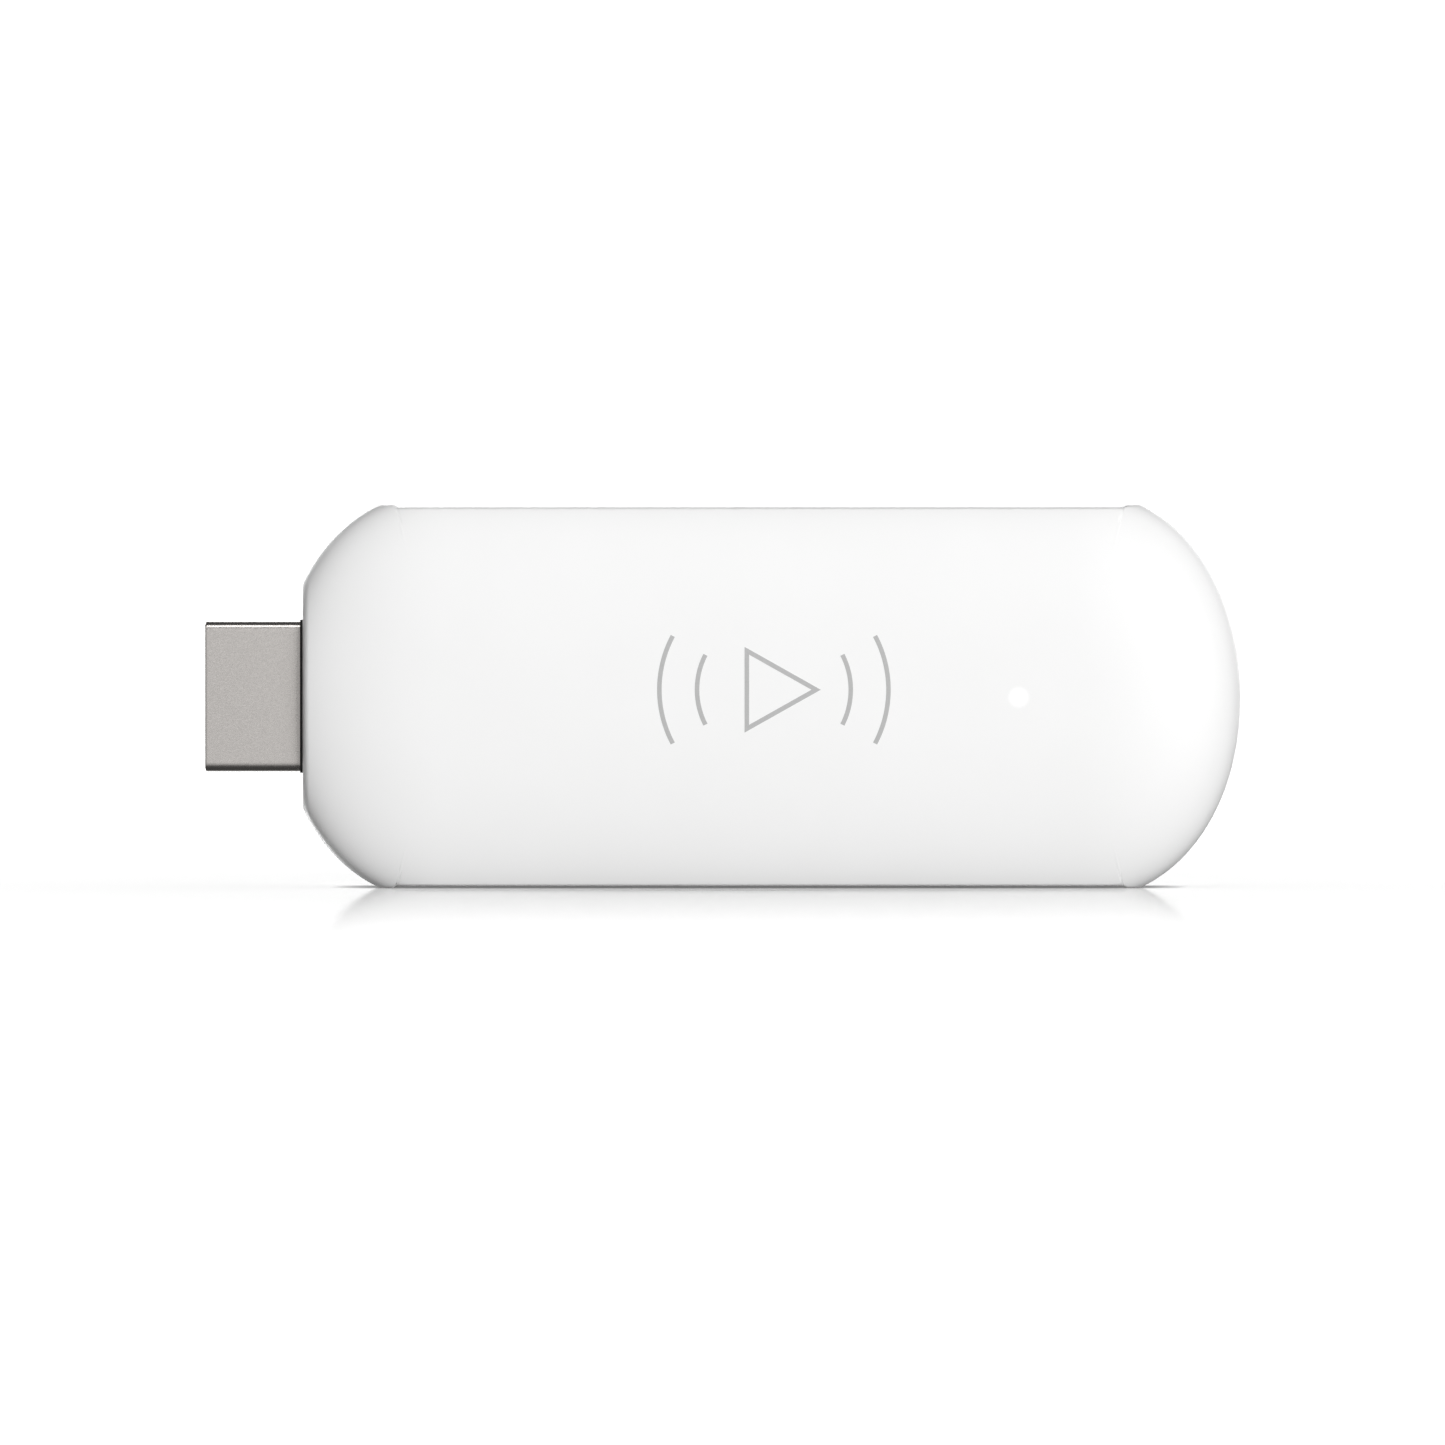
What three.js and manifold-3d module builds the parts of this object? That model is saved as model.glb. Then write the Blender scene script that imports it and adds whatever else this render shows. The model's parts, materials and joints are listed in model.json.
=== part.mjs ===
// A streaming media stick: a white pebble-shaped housing, cut square at one end and along both long
// edges, with an HDMI type A plug at the square end and the electronics of a media player inside.
// Millimetres, +Z up. The stick stands on its lower long edge with its front face towards -Y and its
// plug towards -X. Everything is laid out around the housing's own centre, and the finished group is
// moved so that the origin is on the resting surface, under the middle of the overall length.

import * as THREE from "three";
import { mergeVertices } from "three/addons/utils/BufferGeometryUtils.js";
import Module from "manifold-3d";

const wasm = await Module();
wasm.setup();

// ---- Driving dimensions -------------------------------------------------------------------------

// Housing. Uncut, it is a pebble with superellipse sections around a straight core.
const CORE_X = 29.44; // half-length of the straight core
const FAR_X = 44.5; // rounded far end
const UNCUT_Z = 18.94; // half-height before the long edges are cut
const HALF_Y = 7; // half-thickness
const RIM_Y = 2.5; // half-height of the straight rim around the pebble
const OUTLINE_POWER = 2.12;
const PROFILE_POWER = 2.5;
const PLUG_END_X = -42.3; // square end that the plug leaves
const LAND_Z = 17.7; // half-height over the lands at the ends of each long edge
const RECESS = 0.2; // the long edges are relieved by this between the lands
const RECESS_X = 33.6;
const WALL = 1.5;
const SEAM = 0.16; // gap between the two covers, on the middle plane
const LIP_OUTSIDE = 0.85; // the front cover's lip starts this far in from the outer surface
const LIP_REACH = 0.9; // and reaches this far past the middle plane
const LIP_GAP = 0.12;
const EDGE_Z = LAND_Z - RECESS;

// HDMI type A plug: 13.9 mm by 4.45 mm, its wide side forwards.
const PLUG = { width: 13.9, depth: 4.45, narrow: 10.4, straight: 2.45, corner: 0.5, sheet: 0.35 };
const PLUG_REACH = 9.1; // how far it stands out of the housing
const PLUG_TIP_X = PLUG_END_X - PLUG_REACH;
const PLUG_SHELL_BACK_X = -38.6;
const PLUG_BLOCK_BACK_X = -36.6;
const PLUG_SLOT = { width: 11.4, half: 1, back: PLUG_TIP_X + 8.5 };
const CONTACT_PITCH = 1;
const CONTACT = { width: 0.4, thick: 0.2 };
const MOULD_GAP = 0.06; // between a moulded insert and the sheet or contact beside it
const COLLAR = { side: 0.25, face: 0.4, proud: 0.3, deep: 1.3, gap: 0.08 };

// Main board, on the middle plane.
const BOARD = { left: -36.2, right: 38.5, halfZ: 14, half: 0.5, nearCorner: 5, farCorner: 9 };
const SCREW = { x: 31, z: 10.6, shank: 0.75, head: 1.5, headThick: 0.9, reach: 3.4, clear: 0.15 };
const CROSS = { reach: 0.9, half: 0.2, deep: 0.5 }; // the screw heads' cross recess
const BOSS_RADIUS = 1.9;
const SOLDER = 0.04; // stand-off of soldered and bonded parts from what carries them
const LEG = { reach: 1.4, width: 1.2, above: 0.4 }; // side legs of the inlet and the switch
const NOTCH_GAP = 0.2;

// Power inlet (micro-USB type B) and pushbutton, side by side on the upper long edge.
const PORT = { x: 24, width: 7.5, depth: 2.45, slant: 0.95, sheet: 0.3, bottom: 11.9, top: 16.85 };
const PORT_HOLE = { gap: 0.3, corner: 0.7 };
const PORT_CONTACTS = 5;
const PORT_PITCH = 0.65;
const PORT_CONTACT = { y: 0.1, thick: 0.14, width: 0.32 };
const BUTTON = { x: 11, length: 6, width: 2.4, gap: 0.2, flange: 0.7, travel: 0.3 };
const SWITCH = {
  width: 4.6,
  depth: 2.6,
  bottom: 10.4,
  top: 13.4,
  plunger: 0.8, // the plunger stands this far out at rest
  plungerX: 0.85,
  plungerY: 0.55,
  wellDepth: 1.2,
  wellGap: 0.1,
};

// Status light. It shines through a thin skin that the front cover keeps over its light pipe.
const LIGHT = { x: 23.9, radius: 0.85, gap: 0.08, skin: 0.5, flangeRadius: 1.5, flangeThick: 0.5 };
const LIGHT_TO_CHIP = 0.26;

// Stamped inverted-F antennas at the board's far end.
const ANTENNA = { left: 34.2, right: 37.4, bottom: 2.6, top: 8.2, feed: 5, leg: 1, stand: 2.2, sheet: 0.3 };

// Components on the board: centre x and z, length, height along Z, and thickness.
const SHIELD = { left: -26, right: 6, halfZ: 11.6, height: 2.1, sheet: 0.2, fence: 0.3 };
const SPREADER = { left: -29, right: 9, halfZ: 12, thick: 1, front: -4.45 };
const LID_PAD = { left: -22, right: 2, halfZ: 8 };
const PAD_GAP = 0.02; // between a thermal pad and what it touches
const CHIPS = {
  soc_chip: { side: -1, x: -8, z: 2, length: 12, height: 12, thick: 1.15 },
  memory_chip: { side: -1, x: -20, z: 2, length: 8, height: 12, thick: 1 },
  flash_chip: { side: 1, x: -12, z: 2, length: 11.5, height: 13, thick: 1 },
  power_chip: { side: 1, x: 24, z: 6.5, length: 4, height: 4, thick: 0.8 },
  wifi_module: { side: 1, x: 12, z: -6, length: 13, height: 12, thick: 1.7 },
  crystal: { side: 1, x: 0.5, z: 6, length: 3.2, height: 2.5, thick: 0.75 },
  inductor_1: { side: 1, x: 18.6, z: 7, length: 3, height: 3, thick: 1.5 },
  inductor_2: { side: 1, x: 14.6, z: 7, length: 3, height: 3, thick: 1.5 },
  input_capacitor: { side: -1, x: 18, z: 9, length: 1.6, height: 3.2, thick: 1.6 },
  led_chip: { side: -1, x: LIGHT.x, z: 0, length: 1.6, height: 0.8, thick: 0.6 },
};

// ---- Finishes -----------------------------------------------------------------------------------

const finish = (color, roughness, metalness = 0) =>
  new THREE.MeshStandardMaterial({ color, roughness, metalness });

const FINISH = {
  whitePlastic: finish(0xf3f3f3, 0.42),
  clearPlastic: finish(0xffffff, 0.25),
  blackPlastic: finish(0x17171a, 0.55),
  nickel: finish(0xbcb7b3, 0.34, 1),
  gold: finish(0xd9b25f, 0.3, 1),
  boardMask: finish(0x1c4b35, 0.5),
  chipResin: finish(0x232426, 0.6),
  tinPlate: finish(0xc6c8ca, 0.38, 1),
  aluminium: finish(0xb9bcc0, 0.45, 1),
  thermalPad: finish(0x8fa4b5, 0.8),
  ferrite: finish(0x55565a, 0.7),
  ceramic: finish(0xb79a72, 0.5),
  steel: finish(0x8e8f93, 0.35, 1),
  phosphor: finish(0xfff2c8, 0.4),
};

// ---- Solids -------------------------------------------------------------------------------------

// A closed three.js geometry as a solid that can be cut and joined.
function solid(geometry) {
  const bare = new THREE.BufferGeometry();
  bare.setAttribute("position", geometry.getAttribute("position"));
  bare.setIndex(geometry.index);
  const merged = mergeVertices(bare, 1e-5);
  return new wasm.Manifold(
    new wasm.Mesh({
      numProp: 3,
      vertProperties: merged.attributes.position.array,
      triVerts: new Uint32Array(merged.index.array),
    }),
  );
}

function geometryOf(made) {
  const mesh = made.getMesh();
  const geometry = new THREE.BufferGeometry();
  geometry.setAttribute("position", new THREE.BufferAttribute(mesh.vertProperties, 3));
  geometry.setIndex(new THREE.BufferAttribute(mesh.triVerts, 1));
  geometry.computeVertexNormals();
  return geometry;
}

// A box between two values on each axis.
function box([x0, x1], [y0, y1], [z0, z1]) {
  const geometry = new THREE.BoxGeometry(x1 - x0, y1 - y0, z1 - z0);
  return solid(geometry.translate((x0 + x1) / 2, (y0 + y1) / 2, (z0 + z1) / 2));
}

// A flat shape extruded from one value to another on an axis. The shape's own axes are the two that
// follow the extrusion axis in the order X, Y, Z, X: on X they are Y and Z, on Y they are Z and X.
const UNIT = {
  x: new THREE.Vector3(1, 0, 0),
  y: new THREE.Vector3(0, 1, 0),
  z: new THREE.Vector3(0, 0, 1),
};
const FOLLOWING = { x: ["y", "z"], y: ["z", "x"], z: ["x", "y"] };

function extrude(axis, shape, [from, to], options = {}) {
  const { bevel = 0, segments = 4 } = options;
  const geometry = new THREE.ExtrudeGeometry(shape, {
    depth: to - from - 2 * bevel,
    curveSegments: segments,
    bevelEnabled: bevel > 0,
    bevelThickness: bevel,
    bevelSize: bevel,
    bevelOffset: -bevel,
    bevelSegments: 1,
  });
  geometry.translate(0, 0, from + bevel);
  const [u, v] = FOLLOWING[axis];
  geometry.applyMatrix4(new THREE.Matrix4().makeBasis(UNIT[u], UNIT[v], UNIT[axis]));
  return solid(geometry);
}

// A round bar along an axis.
function bar(axis, radius, [from, to], sides = 20) {
  const circle = new THREE.Shape(
    Array.from({ length: sides }, (_, i) => {
      const turn = (2 * Math.PI * i) / sides;
      return new THREE.Vector2(radius * Math.cos(turn), radius * Math.sin(turn));
    }),
  );
  return extrude(axis, circle, [from, to]);
}

// A rectangle with rounded corners around the shape's origin.
function roundedRectangle(width, height, radius) {
  const a = width / 2;
  const b = height / 2;
  const shape = new THREE.Shape();
  shape.moveTo(-a + radius, -b);
  shape.lineTo(a - radius, -b);
  shape.absarc(a - radius, -b + radius, radius, -Math.PI / 2, 0);
  shape.absarc(a - radius, b - radius, radius, 0, Math.PI / 2);
  shape.absarc(-a + radius, b - radius, radius, Math.PI / 2, Math.PI);
  shape.absarc(-a + radius, -b + radius, radius, Math.PI, 1.5 * Math.PI);
  return shape;
}

const polygon = (points) => new THREE.Shape(points.map(([u, v]) => new THREE.Vector2(u, v)));

// A strip of even thickness along a line of points, as a closed outline.
function ribbon(points, thick) {
  const offset = (side) =>
    points.map(([u, v], i) => {
      const before = points[Math.max(i - 1, 0)];
      const after = points[Math.min(i + 1, points.length - 1)];
      const along = new THREE.Vector2(after[0] - before[0], after[1] - before[1]).normalize();
      return [u - (side * along.y * thick) / 2, v + (side * along.x * thick) / 2];
    });
  return polygon([...offset(-1), ...offset(1).reverse()]);
}

// ---- Housing ------------------------------------------------------------------------------------

// The uncut pebble, with its surface moved in by an inset. It has a straight rim around its middle,
// and above and below the rim each ring is a smaller superellipse around the core, until the last
// one closes onto the core's line.
function pebble(inset, { corner = 12, rings = 9 } = {}) {
  const reach = { x: FAR_X - CORE_X - inset, y: HALF_Y - RIM_Y - inset, z: UNCUT_Z - inset };
  const outward = (value) => Math.sign(value) * Math.abs(value) ** (2 / OUTLINE_POWER);
  const around = [0, 1, 2, 3].flatMap((quarter) => {
    const core = quarter === 0 || quarter === 3 ? CORE_X : -CORE_X;
    const count = quarter % 2 ? corner : corner + 1;
    return Array.from({ length: count }, (_, i) => {
      const turn = ((quarter + i / corner) * Math.PI) / 2;
      return { core, x: outward(Math.cos(turn)), z: outward(Math.sin(turn)) };
    });
  });
  const places = new Map();
  const positions = [];
  const indexOf = (x, y, z) => {
    const key = [x, y, z].map((value) => Math.round(value * 1e5)).join();
    if (!places.has(key)) {
      places.set(key, places.size);
      positions.push(x, y, z);
    }
    return places.get(key);
  };
  const ringAt = (side, step) => {
    const lean = ((step / rings) * Math.PI) / 2;
    const share = step === rings ? 0 : Math.cos(lean) ** (2 / PROFILE_POWER);
    const y = side * (RIM_Y + reach.y * Math.sin(lean) ** (2 / PROFILE_POWER));
    return around.map((p) => indexOf(p.core + share * p.x * reach.x, y, share * p.z * reach.z));
  };
  const steps = Array.from({ length: rings + 1 }, (_, step) => step);
  const stack = [
    ...steps.toReversed().map((step) => ringAt(-1, step)),
    ...steps.map((step) => ringAt(1, step)),
  ];
  const faces = [];
  const addFace = (a, b, c) => {
    if (a !== b && b !== c && c !== a) faces.push(a, b, c);
  };
  stack.slice(0, -1).forEach((lower, level) => {
    const upper = stack[level + 1];
    lower.forEach((a, i) => {
      const next = (i + 1) % lower.length;
      addFace(a, upper[i], upper[next]);
      addFace(a, upper[next], lower[next]);
    });
  });
  const geometry = new THREE.BufferGeometry();
  geometry.setAttribute("position", new THREE.Float32BufferAttribute(positions, 3));
  geometry.setIndex(faces);
  return solid(geometry);
}

// The pebble cut square at the plug end and along both long edges, with its surface moved in.
function housing(inset, grid) {
  const left = PLUG_END_X + inset;
  const right = FAR_X + 1;
  const edge = EDGE_Z - inset;
  const land = inset > 0 ? edge : LAND_Z;
  const ramp = RECESS_X + RECESS * 2;
  const upper = [
    [land, right],
    [land, ramp],
    [edge, RECESS_X],
    [edge, -RECESS_X],
    [land, -ramp],
    [land, left],
  ];
  const lower = upper.map(([z, x]) => [-z, x]).reverse();
  const outline = inset > 0 ? [upper[0], upper[5], lower[0], lower[5]] : [...upper, ...lower];
  const cut = extrude("y", polygon(outline.reverse()), [-HALF_Y - 1, HALF_Y + 1]);
  return pebble(inset, grid).intersect(cut);
}

const BEYOND = 60; // past every part of the stick
const inFrontOf = (y) => box([-BEYOND, BEYOND], [-BEYOND, y], [-BEYOND, BEYOND]);
const behind = (y) => box([-BEYOND, BEYOND], [y, BEYOND], [-BEYOND, BEYOND]);

// Openings through the walls: the plug's, the power inlet's and the button's.
function wallOpenings() {
  const plugHole = roundedRectangle(
    PLUG.depth + 2 * (COLLAR.face + 2 * COLLAR.gap),
    PLUG.width + 2 * (COLLAR.side + 2 * COLLAR.gap),
    PLUG.corner + COLLAR.side,
  );
  const portHole = roundedRectangle(
    PORT.width + 2 * PORT_HOLE.gap,
    PORT.depth + 2 * PORT_HOLE.gap,
    PORT_HOLE.corner,
  );
  const buttonHole = roundedRectangle(
    BUTTON.length + 2 * BUTTON.gap,
    BUTTON.width + 2 * BUTTON.gap,
    BUTTON.width / 2 + BUTTON.gap - 0.01,
  );
  const insideZ = EDGE_Z - WALL - 1;
  return [
    extrude("x", plugHole, [PLUG_END_X - 1, PLUG_END_X + WALL + 1]),
    extrude("z", portHole, [insideZ, LAND_Z + 1], { segments: 3 }).translate([PORT.x, 0, 0]),
    extrude("z", buttonHole, [insideZ, LAND_Z + 1], { segments: 5 }).translate([BUTTON.x, 0, 0]),
  ];
}

const screwPlaces = [-1, 1].flatMap((sx) => [-1, 1].map((sz) => [sx * SCREW.x, sz * SCREW.z]));
const innerGrid = { corner: 7, rings: 5 };
const outerSolid = housing(0);
const innerSolid = housing(WALL, innerGrid);
const openings = wallOpenings();

function frontCover() {
  const lip = housing(LIP_OUTSIDE, innerGrid)
    .subtract(innerSolid)
    .intersect(behind(-SEAM))
    .intersect(inFrontOf(LIP_REACH));
  let cover = outerSolid.subtract(innerSolid).intersect(inFrontOf(-SEAM / 2)).add(lip);
  for (const opening of openings) cover = cover.subtract(opening);
  const lightHole = bar("y", LIGHT.radius + LIGHT.gap, [-HALF_Y + LIGHT.skin, 0]);
  return cover.subtract(lightHole.translate([LIGHT.x, 0, 0]));
}

// The rear cover carries the board on four screw bosses.
function rearCover() {
  const rebate = housing(LIP_OUTSIDE - LIP_GAP, innerGrid).intersect(
    inFrontOf(LIP_REACH + LIP_GAP),
  );
  let cover = outerSolid.subtract(innerSolid).intersect(behind(SEAM / 2)).subtract(rebate);
  const bossFrom = BOARD.half + SOLDER;
  const fill = housing(WALL / 2, innerGrid);
  for (const [x, z] of screwPlaces) {
    const boss = bar("y", BOSS_RADIUS, [bossFrom, HALF_Y], 16).translate([x, 0, z]);
    const bore = bar("y", SCREW.shank + MOULD_GAP, [0, SCREW.reach + 0.3], 12).translate([x, 0, z]);
    cover = cover.add(boss.intersect(fill)).subtract(bore);
  }
  for (const opening of openings) cover = cover.subtract(opening);
  return cover;
}

// The light pipe stands in a blind hole of the front cover, and its flange is bonded round the hole.
function lightPipe() {
  const chipFront = -BOARD.half - SOLDER - CHIPS.led_chip.thick;
  const wallInside = -(HALF_Y - WALL) + SOLDER;
  const rod = [-HALF_Y + LIGHT.skin + LIGHT.gap, chipFront - LIGHT_TO_CHIP];
  return bar("y", LIGHT.radius, rod, 24)
    .add(bar("y", LIGHT.flangeRadius, [wallInside, wallInside + LIGHT.flangeThick], 24))
    .translate([LIGHT.x, 0, 0]);
}

// ---- HDMI plug ----------------------------------------------------------------------------------

// The plug's section in Y and Z, moved in by an inset: a wide straight-sided front, then two slanted
// corners down to a narrower back.
function plugSection(inset) {
  const front = -PLUG.depth / 2 + inset;
  const back = PLUG.depth / 2 - inset;
  const turn = -PLUG.depth / 2 + PLUG.straight;
  const wide = PLUG.width / 2 - inset;
  const narrow = PLUG.narrow / 2 - inset * 0.5;
  const r = Math.max(PLUG.corner - inset, 0.1);
  const shape = new THREE.Shape();
  shape.moveTo(front, -wide + r);
  shape.absarc(front + r, -wide + r, r, Math.PI, 1.5 * Math.PI);
  shape.lineTo(turn, -wide);
  shape.lineTo(back, -narrow);
  shape.lineTo(back, narrow);
  shape.lineTo(turn, wide);
  shape.lineTo(front + r, wide);
  shape.absarc(front + r, wide - r, r, Math.PI / 2, Math.PI);
  return shape;
}

function plugShell() {
  const outside = [PLUG_TIP_X, PLUG_SHELL_BACK_X];
  const through = [PLUG_TIP_X - 1, PLUG_SHELL_BACK_X + 1];
  let shell = extrude("x", plugSection(0), outside, { bevel: 0.12 }).subtract(
    extrude("x", plugSection(PLUG.sheet), through),
  );
  // Two solder legs carry the side walls on over the board.
  const wallZ = [PLUG.width / 2 - PLUG.sheet, PLUG.width / 2];
  const legX = [PLUG_SHELL_BACK_X - 0.5, BOARD.left + 2];
  for (const side of [-1, 1]) {
    const z = side > 0 ? wallZ : [-wallZ[1], -wallZ[0]];
    shell = shell.add(box(legX, [-1.6, -BOARD.half - SOLDER], z));
  }
  return shell;
}

const contactRows = [
  { side: -1, count: 10 },
  { side: 1, count: 9 },
];
const contactPlaces = contactRows.flatMap(({ side, count }) =>
  Array.from({ length: count }, (_, i) => ({
    side,
    z: (i - (count - 1) / 2) * CONTACT_PITCH,
  })),
);

// The block that fills the shell, with the slot for the socket's tongue and a channel per contact.
function plugBlock() {
  const block = [PLUG_TIP_X + 0.5, PLUG_BLOCK_BACK_X];
  const half = PLUG_SLOT.half;
  let made = extrude("x", plugSection(PLUG.sheet + MOULD_GAP), block);
  const slotX = [PLUG_TIP_X - 1, PLUG_SLOT.back];
  const slotZ = [-PLUG_SLOT.width / 2, PLUG_SLOT.width / 2];
  made = made.subtract(box(slotX, [-half, half], slotZ));
  const channelHalf = CONTACT.width / 2 + MOULD_GAP;
  for (const { side, z } of contactPlaces) {
    const near = BOARD.half + 0.02;
    const far = half + 0.42;
    const y = side > 0 ? [near, far] : [-far, -near];
    const x = [PLUG_TIP_X + 0.9, PLUG_BLOCK_BACK_X + 1];
    made = made.subtract(box(x, y, [z - channelHalf, z + channelHalf]));
  }
  return made;
}

// One sprung contact: a bowed nose in the slot, a straight run, and a tail on the board's pad.
function plugContact({ side, z }) {
  const half = PLUG_SLOT.half;
  const tail = BOARD.half + SOLDER + CONTACT.thick / 2;
  const line = [
    [PLUG_TIP_X + 1.2, half + 0.2],
    [PLUG_TIP_X + 2.1, half - 0.22],
    [PLUG_TIP_X + 3.4, half + 0.12],
    [PLUG_BLOCK_BACK_X - 1.4, half + 0.12],
    [PLUG_BLOCK_BACK_X - 0.6, tail],
    [BOARD.left + 1.8, tail],
  ].map(([x, y]) => [x, side * y]);
  const width = [z - CONTACT.width / 2, z + CONTACT.width / 2];
  const outline = side > 0 ? ribbon(line, CONTACT.thick) : ribbon(line.reverse(), CONTACT.thick);
  return extrude("z", outline, width);
}

// The black ring that closes the gap between the plug and the housing's square end.
function plugCollar() {
  const ring = (extraY, extraZ, radius) =>
    roundedRectangle(PLUG.depth + 2 * extraY, PLUG.width + 2 * extraZ, radius);
  const { side, face, gap, proud, deep } = COLLAR;
  const outside = ring(face + gap, side + gap, PLUG.corner + side);
  const inside = ring(gap, gap, PLUG.corner);
  const span = [PLUG_END_X - proud, PLUG_END_X + deep];
  return extrude("x", outside, span).subtract(extrude("x", inside, [span[0] - 1, span[1] + 1]));
}

// ---- Board --------------------------------------------------------------------------------------

function mainBoard() {
  const { left, right, halfZ, nearCorner: near, farCorner: far } = BOARD;
  const outline = new THREE.Shape();
  outline.moveTo(-halfZ, left + near);
  outline.absarc(-halfZ + near, left + near, near, Math.PI, 1.5 * Math.PI);
  outline.lineTo(halfZ - near, left);
  outline.absarc(halfZ - near, left + near, near, -Math.PI / 2, 0);
  outline.lineTo(halfZ, right - far);
  outline.absarc(halfZ - far, right - far, far, 0, Math.PI / 2);
  outline.lineTo(-halfZ + far, right);
  outline.absarc(-halfZ + far, right - far, far, Math.PI / 2, Math.PI);
  const thickness = [-BOARD.half, BOARD.half];
  let board = extrude("y", outline, thickness, { segments: 6 });
  for (const [x, z] of screwPlaces) {
    board = board.subtract(bar("y", SCREW.shank + SCREW.clear, [-1, 1], 16).translate([x, 0, z]));
  }
  const notch = (x, width, bottom) => {
    const half = width / 2 + NOTCH_GAP;
    return box([x - half, x + half], [-1, 1], [bottom - NOTCH_GAP, halfZ + 1]);
  };
  board = board.subtract(notch(PORT.x, PORT.width, PORT.bottom));
  return board.subtract(notch(BUTTON.x, SWITCH.width, SWITCH.bottom));
}

// A component's body, standing on the board's front (side -1) or rear (side 1).
function component({ side, x, z, length, height, thick }) {
  const near = BOARD.half + SOLDER;
  const y = side > 0 ? [near, near + thick] : [-near - thick, -near];
  return box([x - length / 2, x + length / 2], y, [z - height / 2, z + height / 2]);
}

// The fence is soldered round the processor and its memory, and the lid is pressed over it.
const shieldSpan = (grow) => [
  [SHIELD.left - grow, SHIELD.right + grow],
  [-SHIELD.halfZ - grow, SHIELD.halfZ + grow],
];

function shieldFence() {
  const [x, z] = shieldSpan(0);
  const [innerX, innerZ] = shieldSpan(-SHIELD.fence);
  const y = [-BOARD.half - SHIELD.height + 0.4, -BOARD.half - SOLDER];
  return box(x, y, z).subtract(box(innerX, [-BEYOND, BEYOND], innerZ));
}

function shieldLid() {
  const gap = 0.05;
  const [x, z] = shieldSpan(gap + SHIELD.sheet);
  const [innerX, innerZ] = shieldSpan(gap);
  const top = -BOARD.half - SHIELD.height;
  const skirt = -BOARD.half - 0.5;
  return box(x, [top, skirt], z).subtract(box(innerX, [top + SHIELD.sheet, 0], innerZ));
}

function chipThermalPad() {
  const { x, z, length, height, thick } = CHIPS.soc_chip;
  const chipTop = -BOARD.half - SOLDER - thick - PAD_GAP;
  const lidInside = -BOARD.half - SHIELD.height + SHIELD.sheet + PAD_GAP;
  const margin = 0.5;
  const halfX = length / 2 - margin;
  const halfZ = height / 2 - margin;
  return box([x - halfX, x + halfX], [lidInside, chipTop], [z - halfZ, z + halfZ]);
}

function lidThermalPad() {
  const { left, right, halfZ } = LID_PAD;
  const lidTop = -BOARD.half - SHIELD.height - PAD_GAP;
  const spreaderBack = SPREADER.front + SPREADER.thick + PAD_GAP;
  return box([left, right], [spreaderBack, lidTop], [-halfZ, halfZ]);
}

function heatSpreader() {
  const { left, right, halfZ, thick, front } = SPREADER;
  const plate = roundedRectangle(2 * halfZ, right - left, 2);
  const y = [front, front + thick];
  return extrude("y", plate, y).translate([(left + right) / 2, 0, 0]);
}

// An antenna on the upper (side 1) or lower half: a radiating plate on a ground leg and a feed leg.
function antenna(side) {
  const { left, right, bottom, top, feed, leg, stand, sheet } = ANTENNA;
  const near = -BOARD.half - SOLDER;
  const z = (from, to) => (side > 0 ? [from, to] : [-to, -from]);
  const plateY = [near - stand, near - stand + sheet];
  const legY = [near - stand + sheet / 2, near];
  const legAt = (from) => box([left, left + sheet], legY, z(from, from + leg));
  return box([left, right], plateY, z(bottom, top)).add(legAt(bottom)).add(legAt(feed));
}

function boardScrew([x, z]) {
  const under = -BOARD.half - SOLDER;
  const head = bar("y", SCREW.head, [under - SCREW.headThick, under], 20);
  const shank = bar("y", SCREW.shank, [under - 0.1, SCREW.reach], 12);
  const armY = [under - SCREW.headThick - 1, under - SCREW.headThick + CROSS.deep];
  const arm = (a, b) => box([-a, a], armY, [-b, b]);
  const { reach, half } = CROSS;
  const made = head.add(shank).subtract(arm(reach, half)).subtract(arm(half, reach));
  return made.translate([x, 0, z]);
}

// Two legs, one on each side of a part that sits in a notch of the board, soldered to its front.
function addSolderLegs(made, halfWidth, thick, bottom) {
  const y = [-BOARD.half - SOLDER - thick, -BOARD.half - SOLDER];
  const z = [bottom + LEG.above, bottom + LEG.above + LEG.width];
  const reach = halfWidth + LEG.reach;
  const inside = halfWidth - thick / 2;
  return made.add(box([inside, reach], y, z)).add(box([-reach, -inside], y, z));
}

// ---- Power inlet --------------------------------------------------------------------------------

// The inlet's section in X and Y, moved in by an inset: two slanted corners at the rear.
function portSection(inset) {
  const a = PORT.width / 2 - inset;
  const b = PORT.depth / 2 - inset;
  const { slant } = PORT;
  return polygon([
    [-a, -b],
    [a, -b],
    [a, b - slant],
    [a - slant, b],
    [-a + slant, b],
    [-a, b - slant],
  ]);
}

function portShell() {
  const made = extrude("z", portSection(0), [PORT.bottom, PORT.top]).subtract(
    extrude("z", portSection(PORT.sheet), [PORT.bottom - 1, PORT.top + 1]),
  );
  return addSolderLegs(made, PORT.width / 2, PORT.sheet, PORT.bottom).translate([PORT.x, 0, 0]);
}

const portContactX = Array.from(
  { length: PORT_CONTACTS },
  (_, i) => PORT.x + (i - (PORT_CONTACTS - 1) / 2) * PORT_PITCH,
);

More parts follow.
